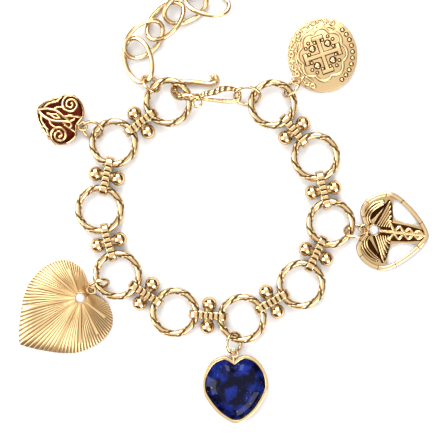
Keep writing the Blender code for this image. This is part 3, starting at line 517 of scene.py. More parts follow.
def slab(shape, outlines, bottom, top, edge=0.0, recess=0.0):
    """Adds a flat piece between two heights: the first outline is its edge, the others are cut through.
    Edge is how far its edges are rounded, and recess how far its colour goes towards the painted shade brown."""
    curve = bpy.data.curves.new("slab", "CURVE")
    curve.dimensions = "2D"
    curve.fill_mode = "BOTH"
    curve.extrude = (top - bottom) / 2 - edge
    curve.bevel_depth = edge
    curve.bevel_resolution = 1
    drawn_in = [inset(outlines[0], edge)] + [inset(hole, -edge) for hole in outlines[1:]]
    for outline in drawn_in if edge else outlines:
        spline = curve.splines.new("POLY")
        spline.points.add(len(outline) - 1)
        for point, place in zip(spline.points, outline):
            point.co = (place[0], place[1], 0.0, 1.0)
        spline.use_cyclic_u = True
    drawn = bpy.data.objects.new("slab", curve)
    bpy.context.scene.collection.objects.link(drawn)
    bpy.context.view_layer.update()
    mesh = bpy.data.meshes.new_from_object(drawn.evaluated_get(bpy.context.evaluated_depsgraph_get()))
    bpy.data.objects.remove(drawn)
    bpy.data.curves.remove(curve)
    mesh.transform(Matrix.Translation((0, 0, (top + bottom) / 2)))
    marks = mesh.attributes.new(RECESS, "FLOAT", "POINT")
    marks.data.foreach_set("value", [recess] * len(mesh.vertices))
    shape.from_mesh(mesh)
    bpy.data.meshes.remove(mesh)


def rod(shape, start, end, width, sides=16, recess=0.0):
    """Adds a straight round bar between two points."""
    start, end = Vector(start), Vector(end)
    verts = bmesh.ops.create_cone(
        shape, cap_ends=True, segments=sides, radius1=width / 2, radius2=width / 2,
        depth=(end - start).length,
    )["verts"]
    turn = Vector((0, 0, 1)).rotation_difference(end - start).to_matrix().to_4x4()
    bmesh.ops.transform(shape, matrix=Matrix.Translation((start + end) / 2) @ turn, verts=verts)
    paint_shade(shape, verts, recess)


def ball(shape, place, width, flat=1.0, recess=0.0):
    """Adds a ball, its height scaled by flat."""
    verts = bmesh.ops.create_uvsphere(shape, u_segments=24, v_segments=14, radius=width / 2)["verts"]
    paint_shade(shape, verts, recess)
    bmesh.ops.scale(shape, vec=(1, 1, flat), verts=verts)
    bmesh.ops.translate(shape, vec=place, verts=verts)


def heart_place(row, rows, reach, width, out):
    """A place in shares turned to the charm's own frame: its eye at the origin, its tip along +X."""
    return (out + (rows[0][1] - row[1]) * reach, row[0] * width / 2)


def both_halves(half):
    """A half outline and its mirror image as one closed outline."""
    return half + [(x, -y) for x, y in reversed(half[1:-1])]


def heart(rows, reach, width, out, steps):
    """The whole outline of a heart, counterclockwise from its cleft."""
    half = [heart_place(row, rows, reach, width, out) for row in through(rows, steps)]
    return both_halves([(x, -y) for x, y in half])


def inset(outline, distance):
    """The outline moved inwards, each corner along its own bisector, whichever way round it runs."""
    turning = 0.0
    for (last_x, last_y), (x, y) in zip(outline[-1:] + outline[:-1], outline):
        turning += last_x * y - last_y * x
    distance *= math.copysign(1, turning)
    moved = []
    for index, corner in enumerate(outline):
        here = Vector(corner)
        back = (here - Vector(outline[index - 1])).normalized()
        ahead = (Vector(outline[(index + 1) % len(outline)]) - here).normalized()
        inward = Vector((-back.y - ahead.y, back.x + ahead.x)).normalized()
        spread = max(0.45, inward.dot(Vector((-ahead.y, ahead.x))))
        moved.append(tuple(here + inward * distance / spread))
    return moved


def way_out(outline, origin, way):
    """How many times the way fits from the origin to the outline."""
    best = 0.0
    for start, end in zip(outline, outline[1:] + outline[:1]):
        near_x, near_y = start[0] - origin[0], start[1] - origin[1]
        side_x, side_y = end[0] - start[0], end[1] - start[1]
        cross = way[0] * side_y - way[1] * side_x
        if abs(cross) < 1e-14:
            continue
        share = (near_x * side_y - near_y * side_x) / cross
        along = (near_x * way[1] - near_y * way[0]) / cross
        if share > 0 and 0 <= along <= 1:
            best = max(best, share)
    return best


def share_of(outline, middle, place):
    """How far a place lies from the middle, as a share of the way to the outline."""
    way = (place[0] - middle[0], place[1] - middle[1])
    if abs(way[0]) + abs(way[1]) < WELD:
        return 0.0
    return min(1.0, 1 / max(1.0, way_out(outline, middle, way)))


def charm_seat(name):
    """The charm's row, and its place from its jump ring."""
    row = dict(zip(CHARM_COLUMNS, CHARM_ROWS[name]))
    middle = box_middle(f"{name}_ring")
    radius = chain_sizes().jump_radius
    lean, heading = math.radians(row["lean"]), math.radians(row["heading"])
    share = (row["eye"] - middle.z) / (radius * math.sin(lean))
    back = radius * math.sqrt(1 - share * share)
    aside = radius * share * math.cos(lean)
    ahead = Vector((math.cos(heading), math.sin(heading)))
    eye = middle.xy - back * ahead + aside * Vector((-ahead.y, ahead.x))
    return row, standing((*eye, 0), row["charm"])


def eye_and_post(shape, row, post_end):
    """A charm's eye, flat round the origin, and the post that joins it to the charm."""
    sizes = charm_sizes()
    loop = [(x, y, row["eye"]) for x, y, _ in oval(sizes.eye_radius, sizes.eye_radius, 32)]
    tube(shape, loop, sizes.eye_wire, closed=True)
    # Some painted shade on the post where it joins the eye and the charm.
    rod(shape, (sizes.eye_radius, 0, row["eye"]), post_end, sizes.eye_post, recess=0.3)


def cup_and_stone(name, shape, middle, low, top, place):
    """A round cup on a charm, and its clear stone as a piece of its own."""
    sizes = charm_sizes()
    radius = sizes.crystal / 2
    cup_width = 2 * (radius + sizes.cup_wall)
    rod(shape, (middle, 0, low), (middle, 0, top - 0.5 * sizes.crystal_height), cup_width, 32)
    lip = radius + 0.6 * sizes.cup_wall
    loop = [(middle + x, y, top - 0.2 * MM) for x, y, _ in oval(lip, lip, 32)]
    tube(shape, loop, 0.8 * sizes.cup_wall, height=0.6 * MM, closed=True)
    stone = new_shape()
    girdle = top + 0.05 * MM
    high = top + 0.4 * sizes.crystal_height + 0.1 * MM
    for start, end, r1, r2 in ((high - sizes.crystal_height, girdle, 0.45, 1.0), (girdle, high, 1.0, 0.58)):
        verts = bmesh.ops.create_cone(
            stone, segments=16, cap_ends=False, radius1=radius * r1, radius2=radius * r2, depth=end - start
        )["verts"]
        bmesh.ops.translate(stone, verts=verts, vec=(middle, 0, (start + end) / 2))
    bmesh.ops.remove_doubles(stone, verts=stone.verts, dist=WELD)
    bmesh.ops.holes_fill(stone, edges=stone.edges)
    add_piece(name + "_cut", stone, [name], crystal_material(), place, crease=5)


def add_node(tree, kind, values=None, **settings):
    """Adds a node with these settings and socket values."""
    node = tree.nodes.new(kind)
    for name, value in settings.items():
        setattr(node, name, value)
    for name, value in (values or {}).items():
        node.inputs[name].default_value = value
    return node


def new_material(name):
    """A new material with its node tree and its shader."""
    material = bpy.data.materials.new(name)
    material.use_nodes = True
    return material, material.node_tree, material.node_tree.nodes["Principled BSDF"]


def ramp(tree, stops):
    """A node that turns a value into colours. The outer two stops come first."""
    node = add_node(tree, "ShaderNodeValToRGB")
    elements = node.color_ramp.elements
    for index, (place, value) in enumerate(stops):
        element = elements[index] if index < 2 else elements.new(place)
        element.position = place
        element.color = (*value, 1)
    return node


def gold_material(name, roughness, grain, depth, recess_shade=None):
    """Plated gold. The recess value paints shade into the recesses, darkening and dulling them; the grain is
    the metal's fine surface.
    """
    found = bpy.data.materials.get(name)
    if found:
        return found
    material, tree, shader = new_material(name)
    shader.inputs["Metallic"].default_value = 1.0
    recess = add_node(tree, "ShaderNodeAttribute", attribute_name=RECESS)
    # Painted shade: the recess value blends the gold towards the dark brown.
    tint = ramp(tree, ((0.0, colours().gold), (1.0, recess_shade or colours().recess_shade)))
    dull = ramp(tree, ((0.0, [roughness] * 3), (1.0, [0.55] * 3)))
    where = add_node(tree, "ShaderNodeTexCoord")
    speckle = add_node(tree, "ShaderNodeTexNoise", {"Scale": 1 / grain, "Detail": 2.0})
    bump = add_node(tree, "ShaderNodeBump", {"Strength": 1.0, "Distance": depth})
    links = tree.links
    links.new(recess.outputs["Fac"], tint.inputs["Fac"])
    links.new(recess.outputs["Fac"], dull.inputs["Fac"])
    links.new(tint.outputs["Color"], shader.inputs["Base Color"])
    links.new(dull.outputs["Color"], shader.inputs["Roughness"])
    links.new(where.outputs["Object"], speckle.inputs["Vector"])
    links.new(speckle.outputs["Fac"], bump.inputs["Height"])
    links.new(bump.outputs["Normal"], shader.inputs["Normal"])
    return material


def polished_gold():
    """Cast and tumbled: sharp highlights that waver a little, brown shade painted in the grooves."""
    return gold_material("gold_plated_brass_cast_and_polished", 0.14, 1.1 * MM, 0.03 * MM)


def drawn_gold():
    """Drawn wire bent to rings: the smoothest surface of all."""
    return gold_material("gold_plated_brass_drawn_wire", 0.1, 2.5 * MM, 0.02 * MM)


def satin_gold():
    """Struck and brushed plate: soft, wide highlights."""
    return gold_material("gold_plated_brass_struck_satin", 0.3, 0.5 * MM, 0.02 * MM)


def shade_inside_gold():
    """Painted shade: the dark red-brown of the shadowed inside of the filigree heart, with hardly a shine."""
    return gold_material("gold_plated_brass_inside_shade", 0.3, 0.6 * MM, 0.03 * MM, recess_shade=colours().garnet)


def crystal_material():
    """Cut and polished clear glass over a silvered back: bright, faintly blue."""
    found = bpy.data.materials.get("glass_cut_and_foiled")
    if found:
        return found
    material, _, shader = new_material("glass_cut_and_foiled")
    shader.inputs["Base Color"].default_value = (*colours().crystal, 1)
    shader.inputs["Roughness"].default_value = 0.03
    shader.inputs["IOR"].default_value = 1.6
    shader.inputs["Transmission Weight"].default_value = 0.35
    return material


def lapis_material():
    """Cut and polished lapis lazuli: navy with paler clouds and flecks of pyrite under a clear polish."""
    material, tree, shader = new_material("lapis_lazuli_cut_and_polished")
    shader.inputs["Roughness"].default_value = 0.06
    shader.inputs["IOR"].default_value = 1.6
    shader.inputs["Specular IOR Level"].default_value = 0.12
    where = add_node(tree, "ShaderNodeTexCoord")
    clouds = add_node(tree, "ShaderNodeTexNoise", {"Scale": 1 / (3.2 * MM), "Detail": 4.0, "Roughness": 0.6})
    blues = ramp(tree, ((0.46, colours().lapis), (0.74, colours().lapis_cloud)))
    flecks = add_node(tree, "ShaderNodeTexNoise", {"Scale": 1 / (0.45 * MM), "Detail": 3.0, "Roughness": 0.7})
    chosen = ramp(tree, ((0.69, (0, 0, 0)), (0.72, (1, 1, 1))))
    mixed = add_node(tree, "ShaderNodeMix", data_type="RGBA")
    stone, pyrite = [socket for socket in mixed.inputs if socket.type == "RGBA"]
    pyrite.default_value = (*colours().pyrite, 1)
    links = tree.links
    links.new(where.outputs["Object"], clouds.inputs["Vector"])
    links.new(where.outputs["Object"], flecks.inputs["Vector"])
    links.new(clouds.outputs["Fac"], blues.inputs["Fac"])
    links.new(flecks.outputs["Fac"], chosen.inputs["Fac"])
    links.new(chosen.outputs["Color"], mixed.inputs[0])
    links.new(blues.outputs["Color"], stone)
    speckled = next(socket for socket in mixed.outputs if socket.type == "RGBA")
    links.new(speckled, shader.inputs["Base Color"])
    links.new(chosen.outputs["Color"], shader.inputs["Metallic"])
    return material


class RingsOperator(bpy.types.Operator):
    """Winds the ten chain rings of grooved wire"""

    bl_idname = "bracelet.rings"
    bl_label = "Chain rings"

    def execute(self, context):
        sizes = chain_sizes()
        radius = (sizes.ring_outer - sizes.ring_wire) / 2
        for number in range(1, 11):
            raised, lean = RING_LEANS.get(number, (0.0, 0.0))
            shape = new_shape()
            tube(
                shape, oval(radius, radius, 96), sizes.ring_wire, sides=24, closed=True,
                turns=sizes.ring_turns, bump=grooved(*RING_GROOVES),
            )
            name = f"ring_{number}"
            place = standing(box_middle(name), raised - 90, lean)
            add_piece(name + "_twisted", shape, [name], polished_gold(), place)
        return {"FINISHED"}


def strap_path(half, radius):
    """The middle line of a strap, laid flat: two straight runs and two round ends."""
    straight = [(-half + 2 * half * step / 40, -radius) for step in range(40)]
    bend = [math.radians(-90 + 180 * step / 20) for step in range(20)]
    half_way = straight + [(half + radius * math.cos(a), radius * math.sin(a)) for a in bend]
    return [(x, y, 0) for x, y in half_way] + [(-x, -y, 0) for x, y in half_way]


class ConnectorsOperator(bpy.types.Operator):
    """Casts the nine ball connectors with their ribbed straps"""

    bl_idname = "bracelet.connectors"
    bl_label = "Ball connectors"

    def execute(self, context):
        sizes = chain_sizes()
        outer = sizes.ring_wire / 2 + sizes.wire_room + sizes.strap_thickness
        half = sizes.wire_spacing / 2
        ribbed = 2.6 * sizes.rib_pitch

        def ribs(turn, place):
            square = 1 - (math.cos(turn) ** 4 + math.sin(turn) ** 4) ** -0.25
            notch = abs(math.cos(math.pi * place.x / sizes.rib_pitch)) ** 6 if abs(place.x) < ribbed else 0.0
            notch *= max(0.0, math.cos(turn)) ** 0.5
            # Painted shade in the notches between the ribs.
            return square + 0.5 * notch, min(1.0, 1.8 * notch)

        shape = new_shape()
        path = strap_path(half, outer - sizes.strap_thickness / 2)
        tube(
            shape, path, 0.94 * sizes.strap_thickness, sides=32, height=0.94 * sizes.strap_width,
            closed=True, bump=ribs,
        )
        bmesh.ops.rotate(shape, matrix=Matrix.Rotation(math.radians(90), 3, "X"), verts=shape.verts)
        spread = sizes.ball_spread / 2
        # Partly oxide, partly painted shade: the barrel is darker where it sits between the balls inside the
        # strap.
        rod(shape, (0, -spread, 0), (0, spread, 0), sizes.barrel, 24, recess=0.6)
        for side in (-1, 1):
            ball(shape, (0, side * spread, 0), sizes.ball)
        for number in range(1, 10):
            start, end = box_middle(f"ring_{number}"), box_middle(f"ring_{number + 1}")
            heading = math.degrees(math.atan2(end.y - start.y, end.x - start.x))
            place = standing((*((start + end) / 2).xy, outer), heading)
            name = f"connector_{number}"
            add_piece(name + "_cast", shape.copy(), [name], polished_gold(), place)
        shape.free()
        return {"FINISHED"}


class ExtenderOperator(bpy.types.Operator):
    """Bends the extender's oval links and its ring"""

    bl_idname = "bracelet.extender"
    bl_label = "Extender"

    def execute(self, context):
        sizes = chain_sizes()
        for number, (heading, lean) in enumerate(LINK_TURNS, 1):
            shape = new_shape()
            path = oval(sizes.link_half_length, sizes.link_half_width, 72)
            tube(shape, path, sizes.link_wire, sides=16, closed=True)
            name = f"extender_link_{number}"
            add_piece(name + "_wire", shape, [name], drawn_gold(), standing(box_middle(name), heading, lean))
        shape = new_shape()
        path = oval(sizes.extender_ring_radius, sizes.extender_ring_radius, 56)
        tube(shape, path, sizes.extender_ring_wire, closed=True)
        place = standing(box_middle("extender_ring"), *EXTENDER_RING_TURN)
        add_piece("extender_ring_wire", shape, ["extender_ring"], drawn_gold(), place)
        return {"FINISHED"}


class HookOperator(bpy.types.Operator):
    """Casts the hook with its rough bend and roped eye, and bends its oval ring"""

    bl_idname = "bracelet.hook"
    bl_label = "Hook clasp"

    def execute(self, context):
        chain, sizes = chain_sizes(), hook_sizes()
        radius = (chain.ring_outer - chain.ring_wire) / 2
        first, last = box_middle("ring_1").xy, box_middle("ring_10").xy
        way = last - first
        span = way.length - 2 * radius
        rise = sizes.shank - sizes.tongue
        shape = new_shape()
        rows = through(HOOK_ROWS, 7)
        points = [(row[0] * span, row[1] * sizes.throat, sizes.tongue + row[2] * rise) for row in rows]
        rough = crinkled(sizes.crinkle, 0.6)

        def hammered(turn, place):
            """The bend is rough all over, the tongue by the table only lightly."""
            force = 0.35 if place.z < sizes.wire + 0.4 * MM else 1.0
            sink, recess = rough(turn, place)
            return sink * force, recess * force

        shares = [row[3] * (1.25 if row[2] < 0.3 else 1.15) for row in rows]
        tube(shape, points, sizes.wire, sides=24, shares=shares, bump=hammered)
        self.eye(shape, span)
        self.collar(shape, span)
        heading = math.degrees(math.atan2(way.y, way.x))
        start = first + way.normalized() * radius
        add_piece("hook_cast", shape, ["hook"], polished_gold(), standing((*start, 0), heading))
        shape = new_shape()
        tube(shape, oval(sizes.ring_radius, sizes.ring_half_width, 64), chain.jump_wire, closed=True)
        place = standing(box_middle("hook_ring"), heading, HOOK_RING_LEAN)
        add_piece("hook_ring_wire", shape, ["hook_ring"], drawn_gold(), place)
        return {"FINISHED"}

    def eye(self, shape, span):
        """The hook's long eye, which falls from the neck to its far end."""
        sizes = hook_sizes()
        neck, end = HOOK_EYE_ROWS[0][0], HOOK_EYE_ROWS[8][0]
        high = sizes.shank - 0.35 * MM
        rows = through(HOOK_EYE_ROWS + HOOK_EYE_ROWS[:1], 8)[:-1]
        points = []
        for row in rows:
            fall = (row[0] - neck) / (end - neck)
            points.append((row[0] * span, row[1] * sizes.throat, high - fall * (high - sizes.eye)))

        def rope(turn, place):
            """Only the thick strand is roped."""
            if place.y < 0.38 * sizes.throat:
                return 0.0, 0.0
            # Painted shade in the rope's grooves.
            groove = (0.5 + 0.5 * math.cos(2 * turn)) ** 3
            return 0.24 * groove, 0.9 * groove

        tube(
            shape, points, sizes.strand, sides=24, shares=[row[2] for row in rows], closed=True,
            turns=9, bump=rope,
        )

    def collar(self, shape, span):
        """Three turns of wire round the neck, and the small curl beside them."""
        sizes = hook_sizes()
        neck = Vector((COLLAR_PLACE[0] * span, COLLAR_PLACE[1] * sizes.throat, sizes.shank - 0.2 * MM))
        radius = (sizes.collar - 0.94 * sizes.wrap) / 2
        for step in (-1, 0, 1):
            centre = neck + Vector((step * sizes.collar_length / 3, 0, 0))
            upright_ring(shape, centre, radius, sizes.wrap)
        aside = neck - Vector((0, sizes.curl_radius + sizes.collar / 4, 0))
        curl = [aside + Vector(point) for point in oval(sizes.curl_radius, sizes.curl_radius, 40)]
        tube(shape, curl, sizes.curl_wire, closed=True)


def upright_ring(shape, centre, radius, width):
    """A ring of wire that stands across the X axis."""
    there = len(shape.verts)
    tube(shape, oval(radius, radius, 32), width, sides=8, closed=True)
    shape.verts.ensure_lookup_table()
    upright = Matrix.Translation(centre) @ Matrix.Rotation(math.radians(90), 4, "Y")
    bmesh.ops.transform(shape, matrix=upright, verts=shape.verts[there:])


class FiligreeOperator(bpy.types.Operator):
    """Makes the puffed filigree heart: shell darkened with painted shade, rim and scrollwork"""

    bl_idname = "bracelet.filigree"
    bl_label = "Filigree heart"

    def execute(self, context):
        sizes = charm_sizes()
        row, place = charm_seat("filigree")
        out = row["out"]
        size = (FILIGREE_OUTLINE, sizes.filigree_length, sizes.filigree_width, out)
        outline = heart(*size, 4)
        middle = (out + HEART_MIDDLE * sizes.filigree_length, 0.0)
        half = sizes.filigree_height / 2
        shell = new_shape()
        back = [(share, lift * half) for share, lift in FILIGREE_BACK]
        skin(shell, inset(outline, 0.1 * MM), middle, back)
        bmesh.ops.recalc_face_normals(shell, faces=shell.faces)
        bmesh.ops.solidify(shell, geom=shell.faces[:], thickness=sizes.filigree_wall * 0.8)
        # Painted shade over the whole shell, the inside seen through the scrolls.
        paint_shade(shell, shell.verts, 1.0)
        add_piece("filigree_shell", shell, ["filigree_heart"], shade_inside_gold(), place)

        def on_front(x, y):
            """A place on the puffed front."""
            share = share_of(outline, middle, (x, y))
            return (x, y, half + (half - sizes.scroll / 2) * math.sqrt(max(0.0, 1 - share ** 2.4)))

        shape = new_shape()
        rim = [(x, y, half) for x, y in inset(outline, 0.35 * MM)]
        tube(shape, rim, 0.7 * sizes.filigree_rim, height=sizes.filigree_rim, closed=True)
        leaf = both_halves([heart_place(point, *size) for point in through(LEAF, 5)])
        tube(shape, [on_front(x, y) for x, y in leaf], sizes.scroll, closed=True)
        for side in (-1, 1):
            self.spiral(shape, heart_place(SPIRAL_PLACE, *size), side, on_front)
            for scroll in SCROLLS:
                path = [heart_place(point, *size) for point in through(scroll, 8)]
                tube(shape, [on_front(x, side * y) for x, y in path], sizes.scroll * 0.75)
        eye_and_post(shape, row, (out + 0.5 * MM, 0, row["eye"]))
        add_piece("filigree_scrolls", shape, ["filigree_heart"], polished_gold(), place)
        return {"FINISHED"}

    def spiral(self, shape, centre, side, on_front):
        """A volute that winds inwards to a ball."""
        sizes = charm_sizes()
        steps = 72
        shares = [step / (steps - 1) for step in range(steps)]
        path = []
        for share in shares:
            angle = math.tau * 1.9 * share
            reach = sizes.spiral * (1.12 - 0.92 * share)
            x, y = centre[0] + reach * math.sin(angle), centre[1] + reach * math.cos(angle)
            path.append(on_front(x, side * y))
        tube(shape, path, sizes.scroll, shares=[1 - 0.3 * share for share in shares])
        ball(shape, path[-1], 1.25 * sizes.scroll)


def skin(shape, outline, middle, levels):
    """A skin over an outline: each level is a share of the outline about the middle, and a height."""
    first = bmesh.ops.create_circle(shape, segments=len(outline), radius=1.0)["verts"]
    for vert, (x, y) in zip(first, outline):
        vert.co = (x, y, levels[0][1])
    edges = edges_of(first)
    share = 1.0
    for next_share, lift in levels[1:]:
        verts, edges = drawn_out(shape, edges)
        for vert in verts:
            vert.co.x = middle[0] + (vert.co.x - middle[0]) * next_share / share
            vert.co.y = middle[1] + (vert.co.y - middle[1]) * next_share / share
            vert.co.z = lift
        share = next_share
    bmesh.ops.holes_fill(shape, edges=edges)


class SunburstOperator(bpy.types.Operator):
    """Strikes the domed sunburst heart: fine grooves, raised rays, milled edge and clear stone"""

    bl_idname = "bracelet.sunburst"
    bl_label = "Sunburst heart"

    def execute(self, context):
        sizes = charm_sizes()
        row, place = charm_seat("sunburst")
        out = row["out"]
        outline = heart(SUNBURST_OUTLINE, sizes.sunburst_length, sizes.sunburst_width, out, 4)
        middle = (out + HEART_MIDDLE * sizes.sunburst_length, 0.0)
        stone = (out + sizes.sunburst_inset, 0.0)
        edge, rise = sizes.sunburst_thickness, sizes.sunburst_dome

        def dome(x, y):
            return edge + rise * (1 - share_of(outline, middle, (x, y)) ** 4)

        shape = new_shape()
        self.plate(shape, outline, dome, stone)
        start = sizes.crystal / 2 + sizes.cup_wall
        for heading, reach in RAYS:
            self.ray(shape, dome, stone, heading, start, reach * sizes.sunburst_length)
        cup_and_stone("sunburst_crystal", shape, stone[0], 0.9 * MM, edge + rise + 0.35 * MM, place)
        eye_and_post(shape, row, (sizes.eye_radius + 0.5 * MM, 0, 0.7 * MM))
        add_piece("sunburst_struck", shape, ["sunburst_heart"], satin_gold(), place, crease=50)
        return {"FINISHED"}

    def plate(self, shape, outline, dome, stone):
        """The grooved plate: a ring round the stone drawn out over the dome, round the edge and back."""
        sizes = charm_sizes()
        layer = shape.verts.layers.float[RECESS]
        start, levels, count = sizes.crystal / 2, 16, 8 * sizes.grooves
        loop = bmesh.ops.create_circle(shape, segments=count, radius=start)["verts"]
        bmesh.ops.translate(shape, verts=loop, vec=(*stone, 0))
        edges = edges_of(loop)
        ways = {}
        for vert in loop:
            angle = math.atan2(vert.co.y - stone[1], vert.co.x - stone[0])
            way = (math.cos(angle), math.sin(angle))
            ways[round(angle * count / math.tau) % count] = (angle, way, way_out(outline, stone, way))
            vert.co.z = dome(vert.co.x, vert.co.y)
        rim, under, back = levels + 1, levels + 2, levels + 3
        for level in range(1, back + 1):
            verts, edges = drawn_out(shape, edges)
            share = {under: 0.8, back: 0.0}.get(level, min(1.0, level / levels))
            for vert in verts:
                angle = math.atan2(vert.co.y - stone[1], vert.co.x - stone[0])
                angle, way, reach = ways[round(angle * count / math.tau) % count]
                distance = start + (reach - start) * share
                x, y = stone[0] + way[0] * distance, stone[1] + way[1] * distance
                lift = 0.0
                if level <= levels:
                    fade = min(1.0, 3 * share)
                    groove = 0.5 - 0.5 * math.cos(sizes.grooves * angle)
                    lift = dome(x, y) - sizes.groove_depth * groove * fade
                    # Painted shade in the fine grooves, on a faint even tone.
                    vert[layer] = 0.1 + 0.75 * groove ** 2 * fade
                elif level >= under:
                    lift = dome(x, y) - sizes.sunburst_thickness
                if level in (levels, rim) and round(angle * count / math.tau) % 4 < 2:
                    x, y = x - way[0] * sizes.groove_depth, y - way[1] * sizes.groove_depth
                vert.co = (x, y, lift)
        bmesh.ops.holes_fill(shape, edges=[item for item in shape.edges if item.is_boundary])

    def ray(self, shape, dome, stone, heading, start, end):
        """A raised bar that follows the dome, narrow at the stone and square at its end, with painted shade
        round its foot.
        """
        sizes = charm_sizes()
        there = len(shape.verts)
        verts = bmesh.ops.create_grid(shape, x_segments=20, y_segments=2, size=0.5)["verts"]
        faces = list(dict.fromkeys(face for vert in verts for face in vert.link_faces))
        grown = bmesh.ops.extrude_face_region(shape, geom=faces, use_keep_orig=True)["geom"]
        top = {item for item in grown if isinstance(item, bmesh.types.BMVert)}
        turn = math.radians(heading)
        layer = shape.verts.layers.float[RECESS]
        shape.verts.ensure_lookup_table()
        for vert in shape.verts[there:]:
            share = vert.co.x + 0.5
            half_width = sizes.ray_width / 2 * (0.35 + 0.65 * share)
            along, aside = start + (end - start) * share, 2 * vert.co.y * half_width
            raised = vert in top
            if raised:
                aside *= 0.5
            x = stone[0] + along * math.cos(turn) - aside * math.sin(turn)
            y = stone[1] + along * math.sin(turn) + aside * math.cos(turn)
            vert.co = (x, y, dome(x, y) + (sizes.ray_height if raised else -0.3 * MM))
            # Painted shade on the skirt round the foot of each ray.
            vert[layer] = 0.0 if raised else 1.0


class LapisOperator(bpy.types.Operator):
    """Makes the rim-set heart and cuts its lapis"""

    bl_idname = "bracelet.lapis"
    bl_label = "Lapis heart"

    def execute(self, context):
        sizes = charm_sizes()
        row, place = charm_seat("lapis")
        out = row["out"]
        outline = heart(LAPIS_OUTLINE, sizes.lapis_length, sizes.lapis_width, out, 4)
        shape = new_shape()
        slab(shape, [outline, inset(outline, sizes.lapis_rim)], 0.0, sizes.lapis_rim_height, 0.22 * MM)
        # Painted shade: the plate under the stone is coloured fully dark where it shows round the stone.
        slab(shape, [inset(outline, sizes.lapis_rim / 2)], 0.05 * MM, sizes.lapis_floor, recess=1.0)
        eye_and_post(shape, row, (out + sizes.lapis_rim / 2, 0, row["eye"]))
        add_piece("lapis_rim", shape, ["lapis_setting"], polished_gold(), place)
        coarse = heart(LAPIS_OUTLINE, sizes.lapis_length, sizes.lapis_width, out, 1)
        girdle = inset(coarse, sizes.lapis_rim + 0.06 * MM)
        middle = (out + HEART_MIDDLE * sizes.lapis_length, 0.0)
        high, low = sizes.lapis_rim_height + sizes.lapis_crown, sizes.lapis_floor + 0.1 * MM
        stone = new_shape()
        levels = [(0.8, low), (1.0, low + 0.8 * MM), (1.0, sizes.lapis_rim_height - 0.25 * MM),
                  (0.85, sizes.lapis_rim_height + 0.65 * MM), (0.66, high)]
        start = [(middle[0] + (x - middle[0]) * 0.8, y * 0.8) for x, y in girdle]
        skin(stone, start, middle, [(share / 0.8, lift) for share, lift in levels])
        bmesh.ops.holes_fill(stone, edges=[item for item in stone.edges if item.is_boundary])
        add_piece("lapis_cut", stone, ["lapis_stone"], lapis_material(), place, crease=4)
        return {"FINISHED"}


